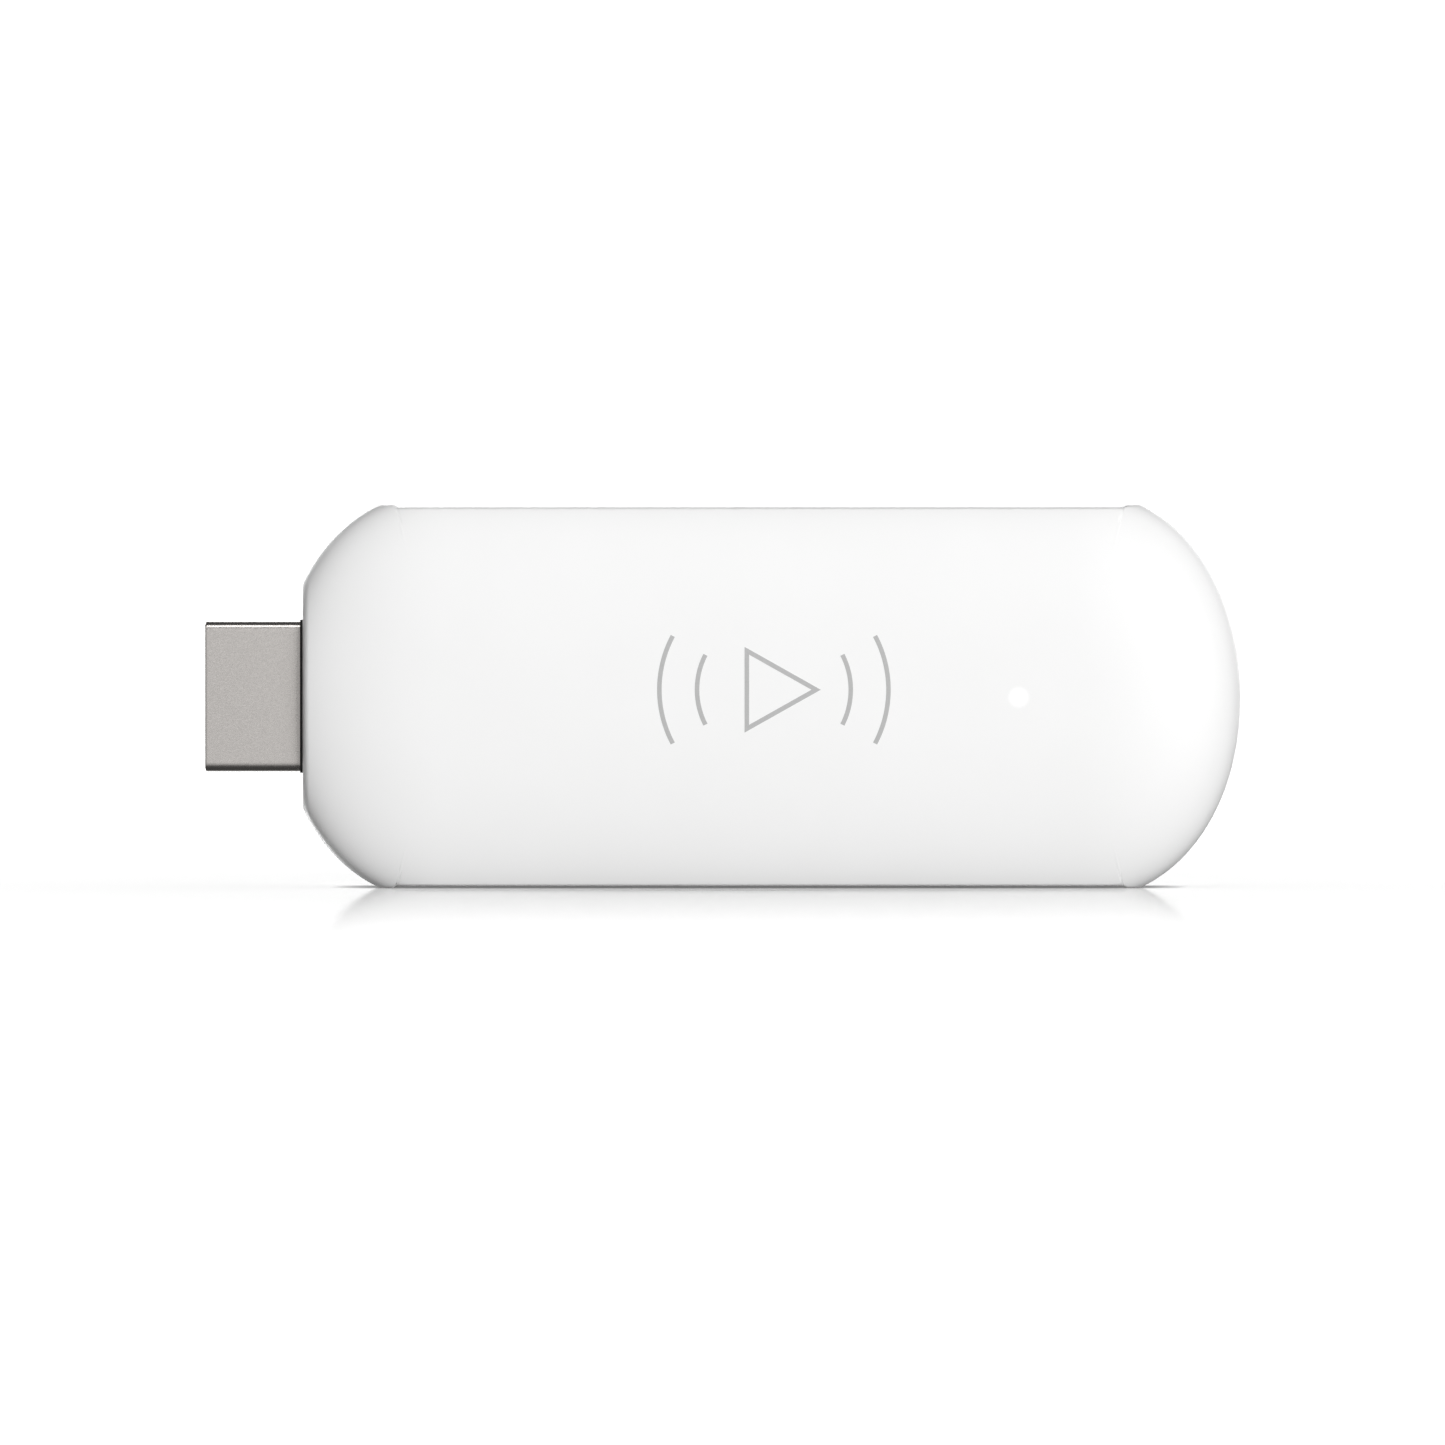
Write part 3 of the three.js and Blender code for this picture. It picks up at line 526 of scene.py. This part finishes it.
def make_plug(nickel, black):
    shell = skin("plug_skin", plug_shell_rings(), ends="join")
    combine(shell, plug_legs(), "UNION")
    combine(shell, plug_back_cutters(), "DIFFERENCE")
    finish_shading(shell)
    stand_for(shell, nickel, "stick", "nickel_plate", "plug_shell")

    half_y, half_z = COLLAR_HIGH.y, (COLLAR_HIGH.z - COLLAR_LOW.z) / 2
    front, back = COLLAR_LOW.x - CENTRE.x, COLLAR_HIGH.x - CENTRE.x
    edge = 0.05 * MM
    inner_y, inner_z = PLUG_HALF_Y + COLLAR_GAP, PLUG_HALF_Z + COLLAR_GAP
    lip_y, lip_z = inner_y + COLLAR_LIP, inner_z + COLLAR_LIP
    flush = SQUARE_X + 0.02 * MM
    stations = [
        (back, half_y, half_z),
        (flush, half_y, half_z),
        (flush, lip_y, lip_z),
        (front + edge, lip_y, lip_z),
        (front + edge * 0.3, lip_y - edge * 0.3, lip_z - edge * 0.3),
        (front, lip_y - edge, lip_z - edge),
        (front, inner_y, inner_z),
        (back, inner_y, inner_z),
    ]
    rings = []
    for x, u, v in stations:
        corner = COLLAR_ROUND if u > lip_y else COLLAR_LIP_ROUND
        rings.append(on_axis(rounded_rectangle(u, v, corner), "x", x))
    # the collar is black plastic; its thin lip also serves as a painted shade line where the plug
    # meets the housing
    collar = finish_shading(skin("plug_collar_and_shade_rim", rings, ends="join"))
    stand_for(collar, black, "stick", "black_plastic", "plug_collar")


# ---- Button -------------------------------------------------------------------------------------


def make_button(material):
    """The cap: a stem, a flange that holds it in, and a softly dished face."""
    top, bottom = CAP_HIGH.z - CENTRE.z, CAP_LOW.z - CENTRE.z
    flange_low, flange_high = top - 2.15 * MM, top - 1.55 * MM
    stem = (1 * MM, 0.8 * MM, 0.1 * MM)
    flange = (CAP_HALF_X + CAP_FLANGE, CAP_HALF_Y + CAP_FLANGE, CAP_HALF_Y)
    stations = [
        (bottom, *stem),
        (flange_low, *stem),
        (flange_low, *flange),
        (flange_high, *flange),
        (flange_high, CAP_HALF_X, CAP_HALF_Y, CAP_HALF_Y),
    ]
    for degrees in (0, 20, 40, 60, 80, 90):
        turn = math.radians(degrees)
        inset = CAP_ROUND * (1 - math.cos(turn))
        level = top - CAP_ROUND * (1 - math.sin(turn))
        stations.append((level, CAP_HALF_X - inset, CAP_HALF_Y - inset, CAP_HALF_Y - inset))
    for share in (0.25, 0.5, 0.75, 0.98):
        inset = CAP_ROUND + (CAP_HALF_Y - CAP_ROUND) * share
        level = top - 0.06 * MM * math.sin(share * math.pi / 2)
        stations.append((level, CAP_HALF_X - inset, CAP_HALF_Y - inset, CAP_HALF_Y - inset))
    rings = [
        on_axis(rounded_rectangle(u, v, r, steps=12) + np.array((CAP_X, 0)), "z", level)
        for level, u, v, r in stations
    ]
    cap = finish_shading(skin("button_face", rings, ends="cap"))
    stand_for(cap, material, "button", "white_plastic", "button_cap")


# ---- Printed symbol -----------------------------------------------------------------------------


def in_short_steps(corners, closed):
    """Points along straight lines, close enough together to follow the curved face."""
    ends = np.array(corners + corners[:1] if closed else corners, float)
    steps = 16
    shares = np.arange(steps)[:, None] / steps
    runs = [a + (b - a) * shares for a, b in zip(ends, ends[1:])]
    return np.concatenate(runs if closed else [*runs, ends[-1:]])


def stroke_band(points, closed):
    """The two sides of an even stroke along a line of points, mitred at its corners."""
    if closed:
        before = points - np.roll(points, 1, axis=0)
        after = np.roll(points, -1, axis=0) - points
    else:
        before = np.diff(points, axis=0)[[0, *range(len(points) - 1)]]
        after = np.diff(points, axis=0)[[*range(len(points) - 1), -1]]
    before /= np.linalg.norm(before, axis=1, keepdims=True)
    after /= np.linalg.norm(after, axis=1, keepdims=True)
    tangent = before + after
    tangent /= np.linalg.norm(tangent, axis=1, keepdims=True)
    across = np.stack([-tangent[:, 1], tangent[:, 0]], -1)
    stretch = 1 / np.maximum((tangent * after).sum(1), 0.3)
    reach = across * (stretch * SYMBOL_STROKE / 2)[:, None]
    return points + reach, points - reach


def make_symbol(ink):
    """A play triangle between two pairs of sound-wave arcs, printed on the front."""
    triangle = [(-2.5 * MM, -3.6 * MM), (3.9 * MM, 0), (-2.5 * MM, 3.6 * MM)]
    strokes = [(in_short_steps(triangle, closed=True), True)]
    for radius, spread in ((7.1 * MM, 27), (10.58 * MM, 28)):
        for middle in (0, 180):
            turns = np.radians(np.linspace(middle - spread, middle + spread, 40))
            arc = np.stack([radius * np.cos(turns), radius * np.sin(turns)], -1)
            strokes.append((arc, False))
    verts, faces = [], []
    for points, closed in strokes:
        sides = [side + np.array((SYMBOL_X, SYMBOL_Z)) for side in stroke_band(points, closed)]
        start, count = len(verts), len(points)
        for lift in (SYMBOL_LIFT, -SYMBOL_LIFT):
            for side in sides:
                y = -surface_height(side) - lift
                placed = np.stack([side[:, 0], y, side[:, 1]], -1) + np.array(CENTRE)
                verts.extend(placed.tolist())
        bands = [(0, 1), (1, 3), (3, 2), (2, 0)]
        for i in range(count if closed else count - 1):
            j = (i + 1) % count
            for a, b in bands:
                corners = (a * count + i, a * count + j, b * count + j, b * count + i)
                faces.append(tuple(start + c for c in corners))
        if not closed:
            for i in (0, count - 1):
                faces.append(tuple(start + k * count + i for k in (0, 1, 3, 2)))
    symbol = tidy_mesh(mesh_object("front_symbol", verts, faces))
    symbol.data.materials.append(ink)
    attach(symbol, "stick")


# ---- Materials ----------------------------------------------------------------------------------


def range_node(nodes, start, end, low, high):
    """Takes start to end over to low to high, and stays there beyond them."""
    node = nodes.new("ShaderNodeMapRange")
    sockets = ("From Min", "From Max", "To Min", "To Max")
    for socket, number in zip(sockets, (start, end, low, high)):
        node.inputs[socket].default_value = number
    return node


class Surface:
    """A procedural material: a Principled shader and short ways to add nodes before it."""

    def __init__(self, name, metallic=0.0, specular=0.5):
        self.material = bpy.data.materials.new(name)
        self.material.use_nodes = True
        self.nodes = self.material.node_tree.nodes
        self.links = self.material.node_tree.links
        self.shader = self.nodes["Principled BSDF"]
        self.shader.inputs["Metallic"].default_value = metallic
        self.shader.inputs["Specular IOR Level"].default_value = specular
        self.place = self.add("ShaderNodeTexCoord").outputs["Object"]

    def add(self, kind, **settings):
        node = self.nodes.new(kind)
        for key, value in settings.items():
            setattr(node, key, value)
        return node

    def link(self, output, socket):
        self.links.new(output, socket)

    def math(self, operation, first, second=None, third=None):
        node = self.add("ShaderNodeMath", operation=operation)
        for socket, value in zip(node.inputs, (first, second, third)):
            if value is None:
                continue
            if isinstance(value, (int, float)):
                socket.default_value = value
            else:
                self.link(value, socket)
        return node.outputs[0]

    def noise(self, size, detail=2.0, stretch=(1, 1, 1)):
        """Noise whose features are about this size, in metres, stretched along the axes."""
        mapping = self.add("ShaderNodeMapping")
        mapping.inputs["Scale"].default_value = [1 / (size * s) for s in stretch]
        self.link(self.place, mapping.inputs["Vector"])
        noise = self.add("ShaderNodeTexNoise")
        noise.inputs["Scale"].default_value = 1
        noise.inputs["Detail"].default_value = detail
        self.link(mapping.outputs[0], noise.inputs["Vector"])
        return noise.outputs["Fac"]

    def cells(self, size):
        """Small rounded grains of this size."""
        grains = self.add("ShaderNodeTexVoronoi", feature="SMOOTH_F1")
        grains.inputs["Scale"].default_value = 1 / size
        self.link(self.place, grains.inputs["Vector"])
        return grains.outputs["Distance"]

    def span(self, value, low, high, start=0.3, end=0.7, smooth=False):
        node = range_node(self.nodes, start, end, low, high)
        if smooth:
            node.interpolation_type = "SMOOTHSTEP"
        self.link(value, node.inputs["Value"])
        return node.outputs[0]

    def tones(self, value, dark, light, start=0.3, end=0.7):
        ramp = self.add("ShaderNodeValToRGB")
        for element, position, tone in zip(ramp.color_ramp.elements, (start, end), (dark, light)):
            element.position = position
            element.color = (*tone, 1)
        self.link(value, ramp.inputs["Fac"])
        return ramp.outputs["Color"]

    def blend(self, amount, first, second):
        mix = self.add("ShaderNodeMix", data_type="RGBA")
        self.link(amount, mix.inputs["Factor"])
        self.link(first, mix.inputs["A"])
        self.link(second, mix.inputs["B"])
        return mix.outputs["Result"]

    def colour(self, output):
        self.link(output, self.shader.inputs["Base Color"])

    def roughness(self, output):
        self.link(output, self.shader.inputs["Roughness"])

    def bump(self, height, depth, strength=1.0):
        node = self.add("ShaderNodeBump")
        node.inputs["Strength"].default_value = strength
        node.inputs["Distance"].default_value = depth
        self.link(height, node.inputs["Height"])
        self.link(node.outputs[0], self.shader.inputs["Normal"])


def toned(colour, factor):
    return tuple(c * factor for c in colour)


def plain(name, colour, rough, size, depth, vary=0.04, metallic=0.0, stretch=(1, 1, 1)):
    """A material of one tone with grain: its colour, its gloss and its relief follow one noise."""
    made = Surface(name, metallic)
    grain = made.noise(size, detail=4, stretch=stretch)
    made.colour(made.tones(grain, toned(colour, 1 - vary), toned(colour, 1 + vary)))
    made.roughness(made.span(grain, rough - 0.05, rough + 0.05))
    made.bump(grain, depth)
    return made.material


def housing_white():
    """Satin white moulded plastic with a fine spark texture, lit from behind at the status
    light."""
    made = Surface("housing_white", specular=0.3)
    cloud = made.noise(9 * MM, detail=3)
    made.colour(made.tones(cloud, (0.872, 0.872, 0.870), (0.884, 0.884, 0.883)))
    spark = made.cells(0.09 * MM)
    fine = made.noise(0.16 * MM, detail=3)
    made.roughness(made.span(fine, 0.42, 0.52))
    made.bump(made.math("ADD", spark, fine), 0.0016 * MM, 0.6)
    split = made.add("ShaderNodeSeparateXYZ")
    made.link(made.place, split.inputs[0])
    across = made.math("SUBTRACT", split.outputs["X"], LIGHT_X)
    up = made.math("SUBTRACT", split.outputs["Z"], LIGHT_Z)
    squares = made.math("ADD", made.math("POWER", across, 2), made.math("POWER", up, 2))
    distance = made.math("SQRT", squares)
    glow = made.span(distance, 1, 0, GLOW_CORE, GLOW_EDGE, smooth=True)
    in_front = made.span(split.outputs["Y"], 1, 0, -HALF_Y * 0.95, -HALF_Y * 0.85)
    made.shader.inputs["Emission Color"].default_value = (1.0, 1.0, 1.0, 1)
    strength = made.math("MULTIPLY", made.math("MULTIPLY", glow, in_front), GLOW_STRENGTH)
    made.link(strength, made.shader.inputs["Emission Strength"])
    return made.material


def satin_nickel():
    """Nickel-plated sheet: a fine matt grain, faint drawing lines along the plug, soft clouding."""
    made = Surface("satin_nickel", metallic=1)
    cloud = made.noise(1.6 * MM, detail=3)
    lines = made.noise(0.07 * MM, detail=3, stretch=(5, 1, 1))
    grain = made.noise(0.11 * MM, detail=4)
    tone = made.math("ADD", made.math("MULTIPLY", cloud, 0.2), made.math("MULTIPLY", grain, 0.8))
    made.colour(made.tones(tone, (0.408, 0.389, 0.374), (0.422, 0.403, 0.388)))
    made.roughness(made.span(made.math("ADD", lines, grain), 0.22, 0.31, 0.7, 1.3))
    made.bump(made.math("ADD", made.math("MULTIPLY", lines, 0.5), grain), 0.00014 * MM)
    return made.material


def moulded_black():
    made = Surface("moulded_black", specular=0.35)
    grain = made.noise(0.12 * MM, detail=3)
    made.colour(made.tones(grain, (0.010, 0.010, 0.011), (0.017, 0.017, 0.018)))
    made.roughness(made.span(grain, 0.48, 0.62))
    made.bump(made.cells(0.1 * MM), 0.003 * MM)
    return made.material


def printed_ink():
    """Thin grey screen print, slightly uneven."""
    made = Surface("printed_ink", specular=0.4)
    grain = made.noise(0.15 * MM, detail=3)
    made.colour(made.tones(grain, (0.425, 0.425, 0.425), (0.460, 0.460, 0.460)))
    made.roughness(made.span(grain, 0.4, 0.5))
    made.bump(grain, 0.001 * MM)
    return made.material


def solder_mask():
    """Green board with darker laminate between broad copper areas and thin tracks."""
    made = Surface("solder_mask", specular=0.5)
    weave = made.noise(0.35 * MM, detail=2)
    tracks = made.add("ShaderNodeTexBrick", offset=0.5)
    tracks.inputs["Scale"].default_value = 1 / (4 * MM)
    tracks.inputs["Mortar Size"].default_value = 0.03
    made.link(made.place, tracks.inputs["Vector"])
    laminate = made.tones(weave, (0.016, 0.085, 0.046), (0.022, 0.105, 0.058))
    copper = made.tones(weave, (0.032, 0.165, 0.088), (0.038, 0.185, 0.098))
    made.colour(made.blend(tracks.outputs["Fac"], copper, laminate))
    made.roughness(made.span(weave, 0.3, 0.42))
    made.bump(made.math("ADD", weave, tracks.outputs["Fac"]), 0.01 * MM)
    return made.material


def make_materials():
    brushed = (12, 1, 1)
    return {
        "white_plastic": housing_white(),
        "nickel_plate": satin_nickel(),
        "black_plastic": moulded_black(),
        "board_mask": solder_mask(),
        "clear_plastic": plain(
            "light_pipe_resin", (0.86, 0.87, 0.88), 0.25, 0.4 * MM, 0.002 * MM, 0.02
        ),
        "gold_plate": plain(
            "gold_plate", (0.86, 0.62, 0.25), 0.27, 0.05 * MM, 0.001 * MM, 0.05, 1.0
        ),
        "chip_resin": plain("chip_resin", (0.032, 0.033, 0.035), 0.6, 0.08 * MM, 0.006 * MM, 0.15),
        "tin_plate": plain(
            "tin_plate", (0.66, 0.67, 0.68), 0.36, 0.3 * MM, 0.002 * MM, 0.06, 1.0, brushed
        ),
        "ferrite": plain("ferrite", (0.075, 0.074, 0.078), 0.7, 0.06 * MM, 0.01 * MM, 0.2),
        "ceramic": plain("fired_ceramic", (0.42, 0.29, 0.17), 0.5, 0.1 * MM, 0.004 * MM, 0.08),
        "phosphor": plain("led_phosphor", (0.88, 0.78, 0.36), 0.4, 0.05 * MM, 0.002 * MM, 0.06),
        "thermal_pad": plain("silicone_pad", (0.20, 0.27, 0.33), 0.8, 0.2 * MM, 0.02 * MM, 0.08),
        "aluminium": plain(
            "rolled_aluminium", (0.78, 0.79, 0.80), 0.4, 0.1 * MM, 0.002 * MM, 0.05, 1.0, brushed
        ),
        "steel": plain("screw_steel", (0.42, 0.42, 0.44), 0.34, 0.1 * MM, 0.002 * MM, 0.1, 1.0),
    }


def paint_frame(materials):
    """Every CAD node takes its slot's material, and its edges are eased."""
    for entry in frame["record"]["subparts"]:
        node = frame["nodes"][entry["node"]]
        node.data.materials.clear()
        node.data.materials.append(materials[entry["material_slot"]])
        ease = node.modifiers.new("eased edges", "BEVEL")
        ease.width = 0.04 * MM
        ease.segments = 2
        ease.limit_method = "ANGLE"
        ease.angle_limit = math.radians(40)
        ease.harden_normals = True


# ---- Stage, light and camera --------------------------------------------------------------------

FLOOR_REACH = 8.0
BACKDROP = 1.1  # strength of the white behind everything
ROOM = 0.05  # what the world gives to everything but reflections
POLISH = 0.95  # the table's gloss under the stick, as a share
POLISH_REACH = 0.22  # its distance from the table's middle where it has died away
CONTACT_SHADE_REACH = 2.4 * MM  # reach of the painted contact shade: the table is painted darker where the stick is nearer than this
SOFTBOX_DISTANCE = 1.6
FRAME_WIDTH = 134.1 * MM  # what the picture spans at the middle plane
LENS = 400.0
SENSOR = 36.0
AIM = Vector((0, 0, 15.25 * MM))
CAMERA_ELEVATION = 1.0


def floor_material():
    """A pale matt table with a polish that reflects near the stick and dies away from it, and with
    painted contact shade: it is painted darker in the narrow gap where the stick touches it."""
    material = bpy.data.materials.new("pale_table")
    material.use_nodes = True
    nodes, links = material.node_tree.nodes, material.node_tree.links
    nodes.remove(nodes["Principled BSDF"])
    place = nodes.new("ShaderNodeTexCoord")
    length = nodes.new("ShaderNodeVectorMath")
    length.operation = "LENGTH"
    links.new(place.outputs["Object"], length.inputs[0])
    fade = range_node(nodes, 0, POLISH_REACH, POLISH, 0)
    links.new(length.outputs["Value"], fade.inputs["Value"])
    fresnel = nodes.new("ShaderNodeFresnel")
    fresnel.inputs["IOR"].default_value = 1.5
    weight = nodes.new("ShaderNodeMath")
    weight.operation = "MULTIPLY"
    links.new(fade.outputs[0], weight.inputs[0])
    links.new(fresnel.outputs[0], weight.inputs[1])
    matt = nodes.new("ShaderNodeBsdfDiffuse")
    matt.inputs["Color"].default_value = (0.88, 0.88, 0.88, 1)
    polish = nodes.new("ShaderNodeBsdfGlossy")
    polish.inputs["Roughness"].default_value = 0.06
    mix = nodes.new("ShaderNodeMixShader")
    links.new(weight.outputs[0], mix.inputs["Fac"])
    links.new(matt.outputs[0], mix.inputs[1])
    links.new(polish.outputs[0], mix.inputs[2])
    # painted contact shade: ambient occlusion mixes a dark grey diffuse into the table where the
    # stick is close, standing in for its shadow
    contact_shade_ao = nodes.new("ShaderNodeAmbientOcclusion")
    contact_shade_ao.inputs["Distance"].default_value = CONTACT_SHADE_REACH
    dark = nodes.new("ShaderNodeBsdfDiffuse")
    dark.inputs["Color"].default_value = (0.2, 0.2, 0.2, 1)
    painted_contact_shade_mix = nodes.new("ShaderNodeMixShader")
    links.new(contact_shade_ao.outputs["AO"], painted_contact_shade_mix.inputs["Fac"])
    links.new(dark.outputs[0], painted_contact_shade_mix.inputs[1])
    links.new(mix.outputs[0], painted_contact_shade_mix.inputs[2])
    links.new(painted_contact_shade_mix.outputs[0], nodes["Material Output"].inputs["Surface"])
    return material


def make_floor():
    ring = [(math.cos(a), math.sin(a), 0) for a in np.linspace(0, 2 * math.pi, 64, endpoint=False)]
    verts = [tuple(FLOOR_REACH * c for c in point) for point in ring]
    floor = mesh_object("table_top", verts, [tuple(range(64))])
    floor.data.materials.append(floor_material())
    floor.visible_diffuse = False
    floor.visible_glossy = False
    return floor


def make_world():
    """White behind everything. In reflections it is white along the horizon, and elsewhere dim in
    front of the stick and fairly bright behind it."""
    world = bpy.data.worlds.new("studio")
    bpy.context.scene.world = world
    world.use_nodes = True
    nodes, links = world.node_tree.nodes, world.node_tree.links
    ray = nodes.new("ShaderNodeLightPath")
    place = nodes.new("ShaderNodeTexCoord")
    split = nodes.new("ShaderNodeSeparateXYZ")
    links.new(place.outputs["Generated"], split.inputs[0])
    band = nodes.new("ShaderNodeValToRGB")
    band.color_ramp.elements.new(0.12)
    stops = ((0.08, 1.0), (0.12, 0.5), (0.4, 0.1))
    for element, (position, strength) in zip(band.color_ramp.elements, stops):
        element.position = position
        element.color = (strength, strength, strength, 1)
    height = nodes.new("ShaderNodeMath")
    height.operation = "ABSOLUTE"
    links.new(split.outputs["Z"], height.inputs[0])
    links.new(height.outputs[0], band.inputs["Fac"])
    behind = range_node(nodes, 0.4, 0.7, 0, 0.55)
    links.new(split.outputs["Y"], behind.inputs["Value"])
    brighter = nodes.new("ShaderNodeMath")
    brighter.operation = "MAXIMUM"
    links.new(band.outputs[0], brighter.inputs[0])
    links.new(behind.outputs[0], brighter.inputs[1])

    def choose(switch, no, yes):
        mix = nodes.new("ShaderNodeMix")
        links.new(switch, mix.inputs["Factor"])
        for socket, value in (("A", no), ("B", yes)):
            if isinstance(value, float):
                mix.inputs[socket].default_value = value
            else:
                links.new(value, mix.inputs[socket])
        return mix.outputs["Result"]

    lit = choose(ray.outputs["Is Glossy Ray"], ROOM, brighter.outputs[0])
    strength = choose(ray.outputs["Is Camera Ray"], lit, BACKDROP)
    links.new(strength, nodes["Background"].inputs["Strength"])
    nodes["Background"].inputs["Color"].default_value = (1, 1, 1, 1)


def softbox(name, azimuth, elevation, width, height, watts):
    """A light aimed at the stick. Azimuth 0 is the camera's side, and 90 is at +X."""
    data = bpy.data.lights.new(name, "AREA")
    data.shape = "RECTANGLE"
    data.size = width
    data.size_y = height
    data.energy = watts
    light = bpy.data.objects.new(name, data)
    a, e = math.radians(azimuth), math.radians(elevation)
    towards = Vector((math.sin(a) * math.cos(e), -math.cos(a) * math.cos(e), math.sin(e)))
    light.location = Vector((0, 0, CENTRE.z)) + towards * SOFTBOX_DISTANCE
    light.rotation_mode = "QUATERNION"
    light.rotation_quaternion = towards.to_track_quat("Z", "Y")
    light.visible_camera = False
    bpy.context.scene.collection.objects.link(light)
    return light


def table_link(name, table, state):
    """A light-linking collection that gives the table alone, or leaves the table alone out."""
    linked = bpy.data.collections.new(name)
    linked.objects.link(table)
    linked.collection_objects[0].light_linking.link_state = state
    return linked


def make_lights(table):
    """A broad key at the right front, weaker fills, rims and two lights for the back, which all
    leave out the table. Two even lights from above are for the table alone, and the weaker of
    them casts shadows."""
    softboxes = [
        softbox("key", 26, 7, 0.9, 0.42, 23.4),
        softbox("fill", -28, 24, 0.7, 0.42, 2.0),
        softbox("top_front", 0, 35, 0.5, 0.5, 4.2),
        softbox("left_rim", -130, 25, 0.4, 0.42, 2.5),
        softbox("low_rim", -145, -20, 0.4, 0.42, 10),
        softbox("rear_left", -160, 14, 1.0, 0.7, 9),
        softbox("rear_right", 150, 14, 1.0, 0.7, 11),
    ]
    all_but_table = table_link("all but the table", table, "EXCLUDE")
    for light in softboxes:
        light.light_linking.receiver_collection = all_but_table
        light.light_linking.blocker_collection = all_but_table
    table_alone = table_link("the table", table, "INCLUDE")
    for name, energy, blockers in (("table_open", 3.8, table_alone), ("table_shade", 0.5, None)):
        data = bpy.data.lights.new(name, "SUN")
        data.energy = energy
        data.angle = math.radians(60)
        light = bpy.data.objects.new(name, data)
        bpy.context.scene.collection.objects.link(light)
        light.light_linking.receiver_collection = table_alone
        light.light_linking.blocker_collection = blockers


def make_camera():
    data = bpy.data.cameras.new("camera")
    data.lens = LENS
    data.sensor_width = SENSOR
    data.clip_end = 50
    camera = bpy.data.objects.new("camera", data)
    bpy.context.scene.collection.objects.link(camera)
    distance = FRAME_WIDTH * LENS / SENSOR
    elevation = math.radians(CAMERA_ELEVATION)
    back = Vector((0, -math.cos(elevation), math.sin(elevation)))
    camera.location = AIM + back * distance
    camera.rotation_mode = "QUATERNION"
    camera.rotation_quaternion = back.to_track_quat("Z", "Y")
    bpy.context.scene.camera = camera


# ---- Scene --------------------------------------------------------------------------------------

bpy.context.scene.view_settings.view_transform = "Standard"
make_camera()
materials = make_materials()
paint_frame(materials)
make_covers(materials["white_plastic"])
make_plug(materials["nickel_plate"], materials["black_plastic"])
make_button(materials["white_plastic"])
make_symbol(printed_ink())
make_world()
make_lights(make_floor())
